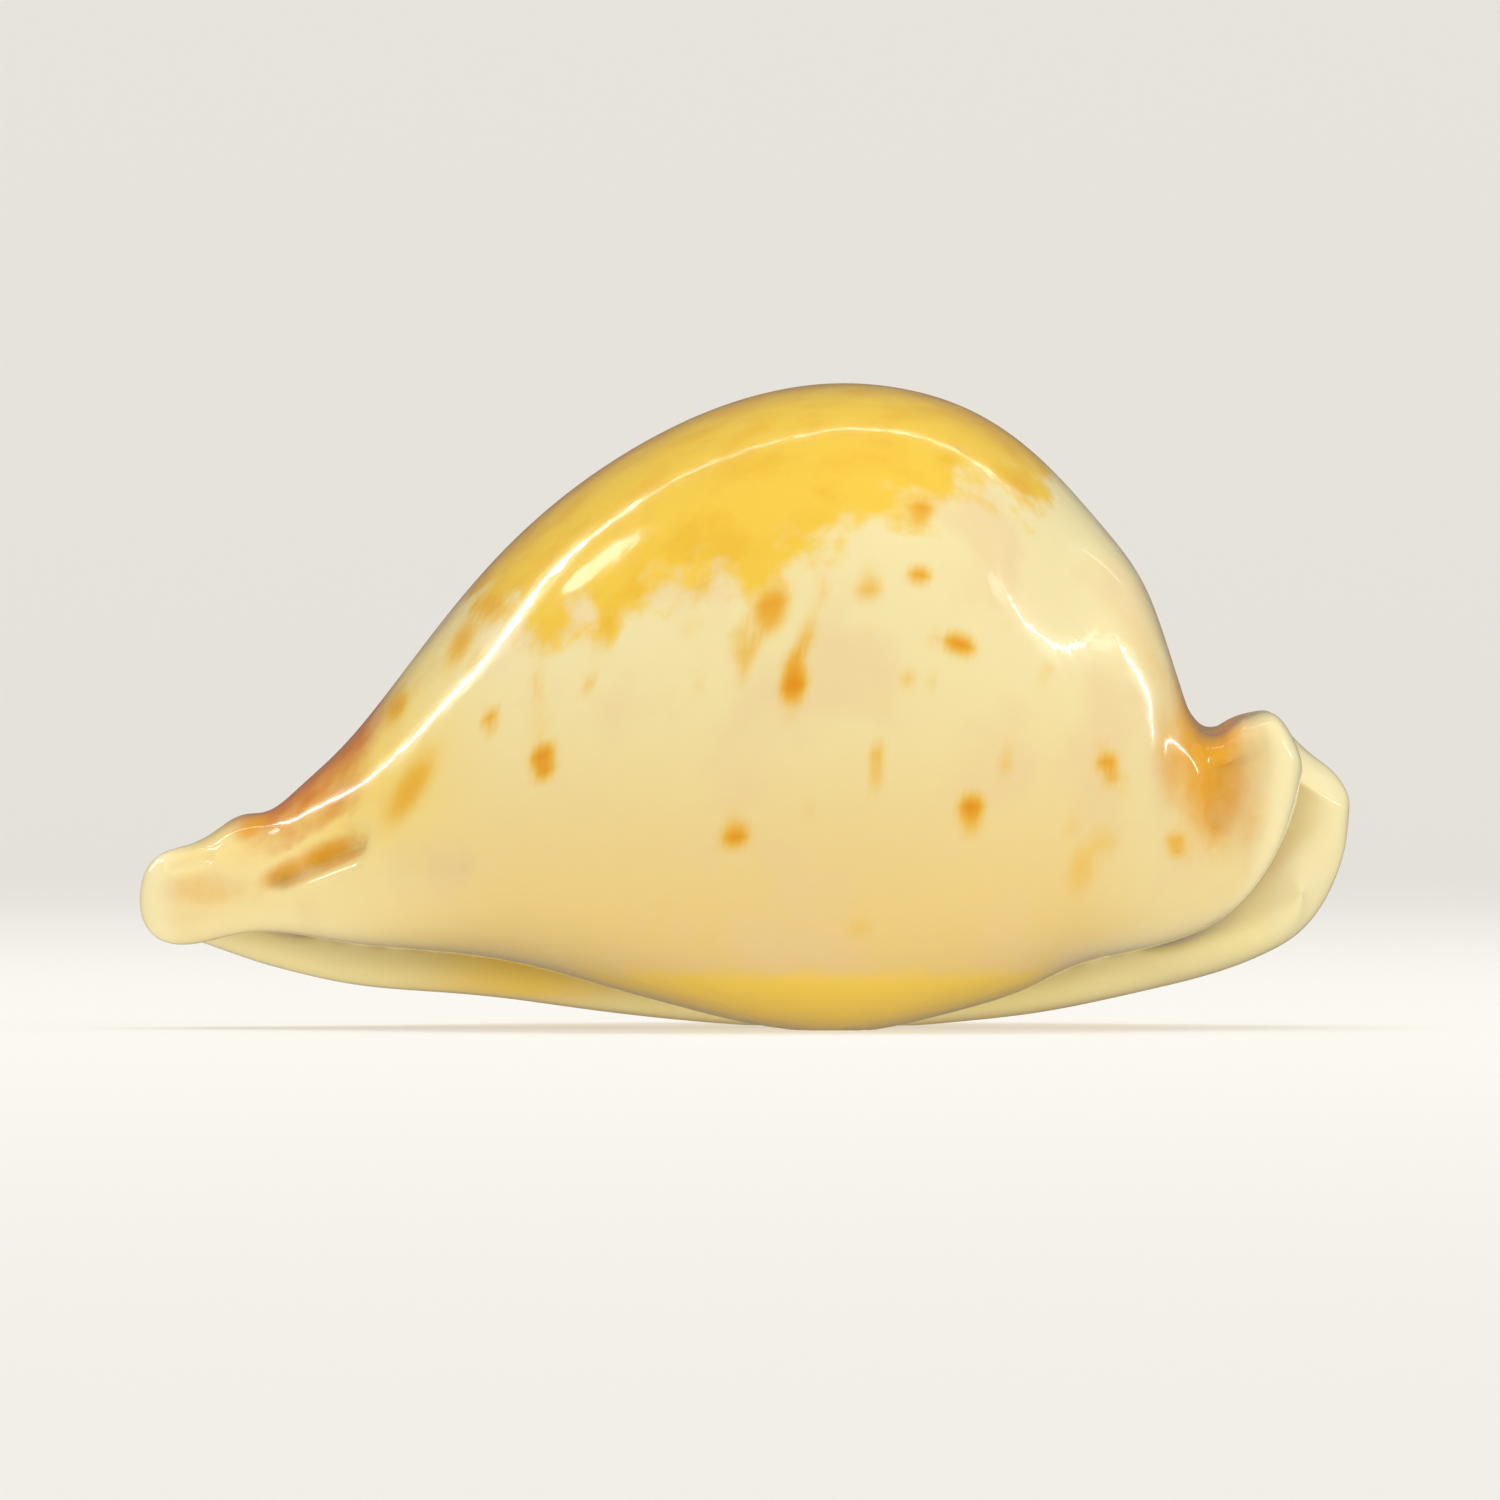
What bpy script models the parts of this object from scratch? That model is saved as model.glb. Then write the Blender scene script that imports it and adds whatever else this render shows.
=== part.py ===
"""Armeniaca cowry shell: one hollow closed solid, lying on its base.

+X is the rear (the end with the collar and the spire pit), -X the front beak, +Z the back of the shell.
-Y is the inner lip's side and +Y the outer lip's. The origin is under the middle of the shell.
The shell is drawn in millimetres as rings across its length. Each ring runs over the outer skin from lip to
lip and back over the skin of the cavity, so the wall is closed and the aperture is open. The rings are
smoothed, get their relief (teeth, pits and grooves) and are made metres at the end.
"""
import math

import bpy
import numpy as np

MM = 0.001

# Driving dimensions of the shell, in mm
LENGTH = 96.8
WIDTH = 63.5
HEIGHT = 51.6
TOOTH_PITCH_OUTER = 3.1
TOOTH_PITCH_INNER = 2.9
TOOTH_HEIGHT_OUTER = 0.85
TOOTH_HEIGHT_INNER = 0.6
TOOTH_REACH_INNER = 4.6
TOOTH_REACH_OUTER = 3.4
TOOTH_RISE_MIDDLE = 1.0
TOOTH_RISE_ENDS = 2.4
TOOTH_SHARPNESS = 1.3
TOOTH_SINK = 0.35
TOOTH_FACING = (-0.3, 0.4)

# Where the rows of teeth begin and end, their middle, and how far from it they shrink and rise, in mm
FIRST_TEETH = (-41.0, -34.0)
LAST_TEETH = (28.0, 35.0)
MIDDLE_TOOTH = 3.0
TOOTH_ENDS = (6.0, 20.0)

# How the two ends' rims are rounded, and how thick the chamber's floor is, in mm
RIM_RADIUS = 2.4
RIM_CLOSING = 0.82
FLOOR_THICKNESS = 5.0
FLAT_TOLERANCE = 0.03

# The wall that rises from each lip into the chamber: its height over the floor, how far it leans away from
# the aperture, and its thickness at the top and at the foot, in mm
INNER_WALL = (11.0, 2.4, 0.8, 3.0)
OUTER_WALL = (1.2, 0.4, 0.8, 3.0)

# Triangles of the finished solid
FACES = 9400

# Material of the shell
SHELL_COLOUR = (0.83, 0.62, 0.27, 1.0)
SHELL_ROUGHNESS = 0.16

# Each profile below is a list of (x, value) in mm, from the front end to the rear end
CREST = [(-48.4, 15.2), (-46.0, 15.0), (-44.0, 14.9), (-42.2, 15.9), (-40.4, 17.1), (-38.2, 17.2),
         (-36.0, 19.0), (-33.0, 21.7), (-28.0, 27.7), (-22.0, 35.4), (-15.7, 41.7), (-9.7, 46.0),
         (-3.7, 49.1), (2.3, 51.0), (7.3, 51.6), (12.3, 51.2), (18.3, 49.3), (24.3, 44.9), (28.3, 40.4),
         (30.5, 37.7), (32.4, 34.4), (34.2, 28.6), (35.2, 25.5), (36.5, 23.5), (38.4, 24.6), (40.5, 25.2),
         (42.6, 25.3), (44.2, 23.2), (46.2, 22.3), (48.4, 21.6)]
CREST_SIDE = [(-48.4, 0.0), (-30.0, 0.0), (0.0, 0.8), (20.0, 0.5), (36.0, 0.0), (48.4, 0.0)]

WIDTH_INNER_LIP = [(-48.4, 5.4), (-46.0, 6.6), (-42.0, 7.6), (-38.0, 8.6), (-34.0, 11.0), (-30.0, 14.8),
                   (-25.0, 19.6), (-18.0, 25.0), (-10.0, 29.0), (-2.0, 31.1), (6.0, 31.8), (14.0, 31.0),
                   (20.0, 28.8), (26.0, 24.6), (30.0, 20.6), (33.0, 17.2), (36.0, 14.4), (39.0, 13.2),
                   (44.0, 12.4)]
WIDTH_OUTER_LIP = [(-48.4, 5.0), (-44.0, 7.0), (-38.0, 9.0), (-34.0, 11.0), (-30.0, 14.0), (-25.0, 18.8),
                   (-18.0, 24.4), (-10.0, 28.9), (-2.0, 31.2), (6.0, 31.8), (14.0, 31.3), (20.0, 29.7),
                   (26.0, 26.7), (32.0, 22.0), (36.0, 18.6), (40.0, 16.0), (44.0, 13.4), (48.4, 8.6)]
WIDEST_INNER_LIP = [(-48.4, 10.6), (-40.0, 11.2), (-32.0, 12.5), (-20.0, 15.5), (0.0, 19.0), (14.0, 19.5),
                    (26.0, 18.5), (36.0, 18.0), (40.0, 19.0), (44.0, 20.5)]
WIDEST_OUTER_LIP = [(-48.4, 10.0), (-40.0, 10.0), (-30.0, 11.5), (-15.0, 15.0), (0.0, 18.0), (14.0, 18.0),
                    (26.0, 16.0), (36.0, 14.5), (42.0, 14.8), (48.4, 16.6)]

BASE_INNER_LIP = [(-48.4, 6.6), (-46.0, 6.6), (-44.0, 6.7), (-41.3, 7.35), (-37.5, 7.7), (-33.2, 7.0),
                  (-25.1, 6.1), (-18.6, 5.25), (-16.6, 4.8), (-13.9, 4.1), (-10.1, 3.0), (-5.0, 1.65),
                  (-1.1, 0.65), (4.2, -0.2), (7.0, -0.4), (10.8, -0.05), (14.8, 0.85), (18.8, 1.9),
                  (22.8, 3.3), (26.3, 5.0), (30.0, 5.9), (33.2, 6.7), (36.5, 7.9), (39.6, 9.6),
                  (42.0, 10.6), (44.0, 11.4)]
BASE_OUTER_LIP = [(-48.4, 8.8), (-46.0, 7.4), (-43.7, 6.7), (-40.0, 5.4), (-36.0, 4.25), (-31.7, 3.3),
                  (-25.7, 2.7), (-19.7, 2.15), (-13.7, 1.3), (-7.7, 0.55), (-1.7, 0.0), (4.0, -0.3),
                  (10.3, -0.35), (16.3, 0.1), (24.3, 1.05), (32.3, 2.8), (38.0, 4.3), (42.0, 5.9),
                  (44.8, 7.4), (48.4, 9.2)]
BOTTOM_INNER_LIP = [(-48.4, 4.2), (-40.0, 5.5), (-30.0, 7.0), (-15.0, 9.0), (0.0, 10.0), (15.0, 10.0),
                    (28.0, 8.5), (38.0, 7.2), (44.0, 7.0)]
BOTTOM_OUTER_LIP = [(-48.4, 4.0), (-40.0, 6.5), (-30.0, 9.5), (-15.0, 14.0), (0.0, 16.0), (15.0, 15.5),
                    (28.0, 12.5), (38.0, 9.6), (48.4, 5.8)]

APERTURE = [(-48.4, 0.0), (-40.0, 0.5), (-30.0, 2.0), (-15.0, 4.5), (0.0, 5.5), (15.0, 5.0), (28.0, 2.5),
            (36.0, 0.4), (48.4, -1.2)]
HALF_GAP = [(-48.4, 2.2), (-40.0, 3.2), (-30.0, 4.4), (-10.0, 4.0), (10.0, 3.5), (25.0, 3.1), (36.0, 2.6),
            (48.4, 2.4)]
LIP_HEIGHT = [(-48.4, 2.4), (-30.0, 2.6), (0.0, 2.8), (30.0, 2.8), (40.0, 3.4), (48.4, 3.6)]

CAVITY_INNER_LIP = [(-48.4, 2.3), (-42.0, 2.6), (-37.0, 4.0), (-33.0, 7.6), (-30.0, 10.8), (-20.0, 20.4),
                    (-10.0, 25.8), (0.0, 28.0), (8.0, 28.4), (16.0, 27.2), (24.0, 23.0), (29.0, 18.4),
                    (32.0, 14.4), (35.0, 8.0), (38.0, 4.0), (44.0, 3.6)]
CAVITY_OUTER_LIP = [(-48.4, 2.4), (-42.0, 3.4), (-37.0, 5.4), (-33.0, 8.6), (-30.0, 11.0), (-20.0, 19.6),
                    (-10.0, 25.8), (0.0, 28.2), (8.0, 28.4), (16.0, 27.4), (24.0, 24.4), (32.0, 18.0),
                    (36.0, 10.0), (39.0, 4.2), (48.4, 1.8)]
CAVITY_TOP = [(-48.4, 11.8), (-42.0, 12.9), (-37.0, 14.5), (-33.0, 17.9), (-28.0, 24.0), (-20.0, 34.2),
              (-10.0, 42.6), (0.0, 47.3), (8.0, 48.4), (14.0, 47.6), (20.0, 45.0), (28.0, 36.9),
              (31.5, 31.5), (34.0, 24.6), (36.5, 20.8), (40.0, 21.0), (44.0, 20.0), (48.4, 17.4)]
CAVITY_MIDDLE = [(-48.4, 10.4), (-40.0, 10.8), (-30.0, 13.5), (-15.0, 18.0), (0.0, 21.0), (14.0, 21.5),
                 (26.0, 19.5), (34.0, 17.6), (40.0, 17.4), (48.4, 16.2)]

# How square the upper and the lower half of a cross-section are: 2 is an ellipse, more is squarer
SQUARENESS_UPPER = [(-48.4, 2.6), (-38.0, 2.3), (-25.0, 2.0), (0.0, 2.1), (20.0, 2.1), (29.0, 2.3),
                    (34.5, 3.6), (39.0, 3.9), (48.4, 2.9)]
SQUARENESS_LOWER = [(-48.4, 2.3), (-20.0, 2.4), (10.0, 2.4), (30.0, 2.3), (48.4, 2.2)]
CAVITY_SQUARENESS = 2.2

# Where the front and rear rims lie: (place across the section, x); 0 is the lip's tip, 20 the roof's middle
FRONT_RIM_INNER_LIP = [(0.0, -45.4), (8.0, -47.4), (10.0, -48.1), (13.0, -48.4), (15.5, -48.0),
                       (17.5, -47.0), (20.0, -44.2)]
FRONT_RIM_OUTER_LIP = [(0.0, -44.8), (8.0, -45.8), (10.5, -47.2), (13.0, -47.6), (15.0, -47.4),
                       (17.0, -46.6), (20.0, -44.2)]
REAR_RIM_INNER_LIP = [(0.0, 39.4), (8.0, 40.2), (10.5, 42.6), (13.0, 44.0), (16.5, 44.3), (18.0, 44.0),
                      (20.0, 42.6)]
REAR_RIM_OUTER_LIP = [(0.0, 44.6), (5.0, 45.0), (8.0, 46.2), (10.5, 47.8), (13.0, 48.4), (15.5, 48.4),
                      (17.0, 47.6), (20.0, 42.6)]

# Points across one half of a section: the lip's face, its underside, the lower side, the upper side
FACE, UNDERSIDE, LOWER, UPPER = 4, 4, 5, 7
HALF = FACE + UNDERSIDE + LOWER + UPPER

# Where the section is that of the chamber (1) and where that of an open canal (0)
CHAMBER = [(-38.0, 0.0), (-27.0, 1.0), (25.0, 1.0), (35.0, 0.0)]

# The rings' distances from each rim, then the step between rings, which is smaller at the beak and the collar
RIM_STEPS = [0.0, 0.35, 0.9, 1.7, 2.7, 3.8]
STEP = 1.95
STEP_SAVED = 0.85
BUSY_PLACES = (-40.0, 37.0)
BUSY_REACH = 7.0

# Hollows face up and out from the inner lip's side, and fade towards the middle line over these y
HOLLOWS_FACE = (0.0, -0.87, 0.5)
HOLLOWS_END = (-6.0, 1.0)
HOLLOW_STEEPNESS = 2.6

# Hollows on the inner lip's side. Each has its start (x, z) and end (x, z), then pairs for start and end: the
# depth, the half width on the left of the way from start to end, and the half width on its right
HOLLOWS = [
    ((-37.0, 12.0), (-31.9, 14.9), (1.5, 1.8), (0.8, 1.0), (0.9, 1.4)),
    ((-28.0, 13.4), (-23.2, 12.9), (0.6, 0.6), (1.3, 1.3), (1.3, 1.3)),
    ((-46.0, 11.0), (-41.0, 11.2), (0.35, 0.35), (1.1, 1.1), (1.2, 1.2)),
    ((-45.6, 12.9), (-43.0, 13.6), (0.3, 0.3), (0.4, 0.4), (0.5, 0.5)),
    ((34.4, 25.0), (34.2, 16.5), (0.35, 0.35), (1.6, 1.6), (1.9, 1.6)),
    ((39.2, 21.4), (38.4, 15.5), (0.8, 0.8), (3.0, 2.4), (2.6, 2.4)),
    ((38.9, 21.6), (37.8, 16.4), (1.5, 1.0), (2.3, 1.0), (2.3, 1.0)),
]


def spline_through(points):
    """A smooth curve of value over x through hand-placed points: a natural cubic spline."""
    x, y = np.array(points, float).T
    step = np.diff(x)
    count = len(x)
    system = np.eye(count)
    right = np.zeros(count)
    for i in range(1, count - 1):
        system[i, i - 1:i + 2] = step[i - 1], 2 * (step[i - 1] + step[i]), step[i]
        right[i] = 6 * ((y[i + 1] - y[i]) / step[i] - (y[i] - y[i - 1]) / step[i - 1])
    bend = np.linalg.solve(system, right)

    def at(place):
        place = np.clip(place, x[0], x[-1])
        i = np.clip(np.searchsorted(x, place) - 1, 0, count - 2)
        a = (x[i + 1] - place) / step[i]
        b = 1 - a
        straight = a * y[i] + b * y[i + 1]
        return straight + ((a ** 3 - a) * bend[i] + (b ** 3 - b) * bend[i + 1]) * step[i] ** 2 / 6

    return at


def smooth_step(value, low, high):
    t = np.clip((value - low) / (high - low), 0, 1)
    return t * t * (3 - 2 * t)


def clamp_step(points, place):
    """A value that eases between hand-placed points and never overshoots them."""
    x, y = np.array(points, float).T
    total = np.full_like(place, y[0])
    for i in range(len(x) - 1):
        total += (y[i + 1] - y[i]) * smooth_step(place, x[i], x[i + 1])
    return total


def between(pair, t):
    return pair[0] + (pair[1] - pair[0]) * t


def quarter(t, side, pole, squareness):
    """A quarter of a superellipse: t = 0 at its side point, 1 at its pole. Points are (y, z) pairs."""
    angle = t * math.pi / 2
    across = np.cos(angle) ** (2 / squareness)
    up = np.sin(angle) ** (2 / squareness)
    return pole[0] + (side[0] - pole[0]) * across, side[1] + (pole[1] - side[1]) * up


def straight(t, start, end):
    return between((start[0], end[0]), t), between((start[1], end[1]), t)


class Half:
    """One half of the cross-sections, from the lip's tip over the side to the roof's middle line."""

    def __init__(self, side, width, widest, base, bottom, cavity, front_rim, rear_rim, wall, teeth):
        self.side = side
        self.width = spline_through(width)
        self.widest = spline_through(widest)
        self.base = spline_through(base)
        self.bottom = spline_through(bottom)
        self.cavity = spline_through(cavity)
        self.front_rim = spline_through(front_rim)
        self.rear_rim = spline_through(rear_rim)
        self.wall_rise, self.wall_lean, self.wall_top, self.wall_foot = wall
        self.tooth_reach, self.tooth_rise_middle, self.tooth_rise_ends = teeth

    def lip(self, x):
        """The lip's nose, the point nearest the other lip."""
        y = aperture(x) + self.side * half_gap(x)
        return y, self.base(x) + lip_height(x)

    def rim_x(self, along):
        """x of each of the half's points at one station; along is 0 at the front rim, 1 at the rear rim."""
        place = np.arange(HALF) + 0.5
        front = self.front_rim(place)
        return front + (self.rear_rim(place) - front) * along

    def legs(self, x):
        """x and the place within its leg, split into the half's four legs."""
        counts = (FACE, UNDERSIDE, LOWER, UPPER)
        starts = np.cumsum((0,) + counts[:-1])
        return [(x[s:s + n], (np.arange(n) + 0.5) / n) for s, n in zip(starts, counts)]

    def outer(self, x):
        """The outer skin's (y, z) for the half's points."""
        (xa, ta), (xb, tb), (xc, tc), (xd, td) = self.legs(x)
        chamber_face = self.wall_face(xa, ta)
        chamber_under = quarter(tb, self.lip(xb), self.low_point(xb), squareness_lower(xb))
        canal_t = (np.arange(FACE + UNDERSIDE) + 0.5) / (FACE + UNDERSIDE)
        x_lip = x[:FACE + UNDERSIDE]
        canal = quarter(canal_t, self.lip(x_lip), self.low_point(x_lip), 2.0)
        chamber = joined(chamber_face, chamber_under)
        lower = quarter(1 - tc, self.side_point(xc), self.low_point(xc), squareness_lower(xc))
        upper = quarter(td, self.side_point(xd), (crest_side(xd), crest(xd)), squareness_upper(xd))
        return joined(mixed(canal, chamber, in_chamber(x_lip)), lower, upper)

    def inner(self, x):
        """The cavity skin's (y, z), each point the partner of the same point of the outer skin."""
        (xa, ta), (xb, tb), (xc, tc), (xd, td) = self.legs(x)
        foot = self.lip(xb)[0] + self.side * (self.wall_lean + self.wall_foot)
        floor = between((foot, self.further_out(foot, self.low_point(xb)[0])), tb), self.floor(xb)
        corner = self.further_out(self.lip(xc)[0] + self.side * self.wall_foot, self.low_point(xc)[0])
        lower = quarter(1 - tc, self.cavity_side(xc), (corner, self.floor(xc)), CAVITY_SQUARENESS)
        chamber = joined(self.wall_back(xa, ta), floor, lower)
        count = FACE + UNDERSIDE + LOWER
        x_wall = x[:count]
        canal = straight((np.arange(count) + 0.5) / count, self.lip(x_wall), self.cavity_side(x_wall))
        upper = quarter(td, self.cavity_side(xd), (crest_side(xd), cavity_top(xd)), squareness_upper(xd))
        return joined(mixed(canal, chamber, in_chamber(x_wall)), upper)

    def wall_face(self, x, t):
        """The wall's face towards the aperture, from its top down to the lip's nose."""
        nose_y, nose_z = self.lip(x)
        top_z = self.floor(x) + self.wall_rise
        return nose_y + self.side * self.wall_lean * (1 - t) ** 1.5, between((top_z, nose_z), t)

    def wall_back(self, x, t):
        """The back of the same wall, from its top down to the chamber's floor."""
        thickness = between((self.wall_top, self.wall_foot), t)
        foot_z = self.floor(x) + 0.5
        top_z = self.floor(x) + self.wall_rise
        return self.lip(x)[0] + self.side * (self.wall_lean + thickness), between((top_z, foot_z), t)

    def further_out(self, first, second):
        """Of two y values, the one further out on this half's side."""
        return self.side * np.maximum(self.side * first, self.side * second)

    def floor(self, x):
        return self.base(x) + FLOOR_THICKNESS

    def low_point(self, x):
        return self.side * self.bottom(x), self.base(x)

    def side_point(self, x):
        return self.side * self.width(x), self.widest(x)

    def cavity_side(self, x):
        return self.side * self.cavity(x), cavity_middle(x)


def joined(*parts):
    return tuple(np.concatenate(values) for values in zip(*parts))


def mixed(first, second, share):
    return tuple(a + (b - a) * share for a, b in zip(first, second))


crest = spline_through(CREST)
crest_side = spline_through(CREST_SIDE)
aperture = spline_through(APERTURE)
half_gap = spline_through(HALF_GAP)
lip_height = spline_through(LIP_HEIGHT)
cavity_top = spline_through(CAVITY_TOP)
cavity_middle = spline_through(CAVITY_MIDDLE)
squareness_upper = spline_through(SQUARENESS_UPPER)
squareness_lower = spline_through(SQUARENESS_LOWER)


def in_chamber(x):
    return clamp_step(CHAMBER, x)


INNER_LIP = Half(-1, WIDTH_INNER_LIP, WIDEST_INNER_LIP, BASE_INNER_LIP, BOTTOM_INNER_LIP, CAVITY_INNER_LIP,
                 FRONT_RIM_INNER_LIP, REAR_RIM_INNER_LIP, INNER_WALL, (TOOTH_REACH_INNER, 0.0, 0.0))
OUTER_LIP = Half(1, WIDTH_OUTER_LIP, WIDEST_OUTER_LIP, BASE_OUTER_LIP, BOTTOM_OUTER_LIP, CAVITY_OUTER_LIP,
                 FRONT_RIM_OUTER_LIP, REAR_RIM_OUTER_LIP, OUTER_WALL,
                 (TOOTH_REACH_OUTER, TOOTH_RISE_MIDDLE, TOOTH_RISE_ENDS))


def stations(span):
    """Places of the rings along the shell, from 0 at the front rim to span at the rear rim."""
    start, end = RIM_STEPS[-1], span - RIM_STEPS[-1]
    places = [start]
    while places[-1] < end:
        busy = sum(math.exp(-((places[-1] - span / 2 - x) / BUSY_REACH) ** 2) for x in BUSY_PLACES)
        places.append(places[-1] + STEP - STEP_SAVED * busy)
    stretch = (end - start) / (places[-1] - start)
    inside = [start + (place - start) * stretch for place in places[1:-1]]
    return RIM_STEPS + inside + [span - step for step in reversed(RIM_STEPS)]


def ring(place, span):
    """One closed ring of points: the outer skin from lip to lip, then the cavity skin back again."""
    rounding = 0.0
    to_rim = min(place, span - place)
    if to_rim < RIM_RADIUS:
        rounding = RIM_CLOSING * (1 - math.sqrt(1 - (1 - to_rim / RIM_RADIUS) ** 2))
    skins = []
    for half in (INNER_LIP, OUTER_LIP):
        x = half.rim_x(place / span)
        outer = np.column_stack((x,) + half.outer(x))
        inner = np.column_stack((x,) + half.inner(x))
        middle = (outer + inner) / 2
        skins.append((outer + (middle - outer) * rounding, inner + (middle - inner) * rounding))
    (near_out, near_in), (far_out, far_in) = skins
    return np.vstack((near_out, far_out[::-1], far_in, near_in[::-1]))


def cage():
    """Vertices and faces of the shell's control cage."""
    span = REAR_RIM_INNER_LIP[-1][1] - FRONT_RIM_INNER_LIP[-1][1]
    rings = [ring(place, span) for place in stations(span)]
    count = len(rings[0])
    faces = []
    for r in range(len(rings) - 1):
        for k in range(count):
            after = (k + 1) % count
            faces.append((r * count + k, (r + 1) * count + k, (r + 1) * count + after, r * count + after))
    last = (len(rings) - 1) * count
    for k in range(count // 2 - 1):
        partner = count - 1 - k
        faces.append((k, k + 1, partner - 1, partner))
        faces.append((last + partner, last + partner - 1, last + k + 1, last + k))
    return np.vstack(rings), faces


def shell_mesh(name, vertices, faces):
    mesh = bpy.data.meshes.new(name)
    mesh.from_pydata([tuple(v) for v in vertices], [], faces)
    mesh.validate()
    return mesh


def evaluated_copy(item, name):
    """The mesh of an object with its modifiers applied."""
    graph = bpy.context.evaluated_depsgraph_get()
    mesh = bpy.data.meshes.new_from_object(item.evaluated_get(graph))
    mesh.name = name
    return mesh


def smoothed(mesh):
    item = bpy.data.objects.new("shell_cage", mesh)
    bpy.context.collection.objects.link(item)
    modifier = item.modifiers.new("smooth", "SUBSURF")
    modifier.levels = modifier.render_levels = 2
    result = evaluated_copy(item, "shell_smooth")
    bpy.data.objects.remove(item)
    return result


def thinned(mesh):
    """The same surface with fewer triangles, closest together where it curves most."""
    item = bpy.data.objects.new("shell_fine", mesh)
    bpy.context.collection.objects.link(item)
    modifier = item.modifiers.new("thin", "DECIMATE")
    modifier.ratio = FACES / (2 * len(mesh.polygons))
    modifier.use_collapse_triangulate = True
    result = evaluated_copy(item, "shell_thin")
    bpy.data.objects.remove(item)
    return result


def points_of(mesh):
    flat = np.empty(3 * len(mesh.vertices))
    mesh.vertices.foreach_get("co", flat)
    return flat.reshape(-1, 3)


def normals_of(mesh):
    flat = np.empty(3 * len(mesh.vertices))
    mesh.vertex_normals.foreach_get("vector", flat)
    return flat.reshape(-1, 3)


def set_points(mesh, points):
    mesh.vertices.foreach_set("co", points.ravel())
    mesh.update()


def teeth(points, normals, half, pitch, height):
    """Outward push of the teeth that cross one lip's nose; the gaps between them are pushed in a little."""
    x = points[:, 0]
    nose_y, nose_z = half.lip(x)
    to_end = smooth_step(np.abs(x - MIDDLE_TOOTH), *TOOTH_ENDS)
    nose_z = nose_z + between((half.tooth_rise_middle, half.tooth_rise_ends), to_end)
    from_nose = np.hypot(points[:, 1] - nose_y, points[:, 2] - nose_z)
    reach = half.tooth_reach * (1 - 0.4 * to_end)
    near_nose = 1 - smooth_step(from_nose, 0.4 * reach, reach)
    facing = smooth_step(-half.side * normals[:, 1], *TOOTH_FACING)
    along = smooth_step(x, *FIRST_TEETH) * (1 - smooth_step(x, *LAST_TEETH))
    ridge = (0.5 + 0.5 * np.cos(2 * math.pi * x / pitch)) ** TOOTH_SHARPNESS
    return height * near_nose * facing * along * (ridge - TOOTH_SINK)


def hollow(points, normals, start, end, depth, left, right):
    """Inward push of one long hollow on the inner lip's side."""
    start, end = np.array(start), np.array(end)
    run = end - start
    spot = points[:, (0, 2)] - start
    t = np.clip(spot @ run / (run @ run), 0, 1)
    distance = np.linalg.norm(spot - t[:, None] * run, axis=1)
    on_left = run[0] * spot[:, 1] > run[1] * spot[:, 0]
    width = np.where(on_left, between(left, t), between(right, t))
    facing = smooth_step(normals @ HOLLOWS_FACE, 0.05, 0.5)
    facing *= 1 - smooth_step(points[:, 1], *HOLLOWS_END)
    return between(depth, t) * np.exp(-(distance / width) ** HOLLOW_STEEPNESS) * facing


def with_relief(points, normals):
    push = teeth(points, normals, INNER_LIP, TOOTH_PITCH_INNER, TOOTH_HEIGHT_INNER)
    push += teeth(points, normals, OUTER_LIP, TOOTH_PITCH_OUTER, TOOTH_HEIGHT_OUTER)
    for place in HOLLOWS:
        push -= hollow(points, normals, *place)
    return points + normals * push[:, None]


def rested(points):
    """The points with everything below the resting plane brought up to it, which leaves flat spots there."""
    return np.maximum(points, (-np.inf, -np.inf, 0))


def sized(points):
    """The points centred over the origin and brought to the driving dimensions."""
    low, high = points.min(axis=0), points.max(axis=0)
    middle = (low + high) / 2
    points = (points - (middle[0], middle[1], low[2])) * (LENGTH, WIDTH, HEIGHT) / (high - low)
    points[points[:, 2] < FLAT_TOLERANCE, 2] = 0
    return points


def shell_material():
    material = bpy.data.materials.new("shell_surface")
    material.use_nodes = True
    surface = material.node_tree.nodes["Principled BSDF"]
    surface.inputs["Base Color"].default_value = SHELL_COLOUR
    surface.inputs["Roughness"].default_value = SHELL_ROUGHNESS
    surface.inputs["Metallic"].default_value = 0.0
    return material


def make_shell():
    mesh = smoothed(shell_mesh("shell_cage", *cage()))
    set_points(mesh, rested(with_relief(points_of(mesh), normals_of(mesh))))
    mesh = thinned(mesh)
    set_points(mesh, sized(rested(points_of(mesh))) * MM)
    mesh.shade_smooth()
    mesh.materials.append(shell_material())
    shell = bpy.data.objects.new("shell", mesh)
    bpy.context.collection.objects.link(shell)
    return shell


for old in list(bpy.data.objects):
    bpy.data.objects.remove(old)
make_shell()
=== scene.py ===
"""Armeniaca cowry shell lying on a pale studio floor: its finished surface, the lights and the camera.

+X is the rear (the end with the collar and the spire pit), -X the front beak, +Z the back of the shell.
-Y is the inner lip's side, which the camera sees, and +Y the outer lip's. The shape is worked out in
millimetres from the same profiles as the solid, at a finer grain, and is made metres at the end. The markings
are fields over the surface: a mark has a place, a size and a strength, and the material turns the fields into
colour.
"""
import math

import bpy
import numpy as np
from mathutils import Matrix, Vector


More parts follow.
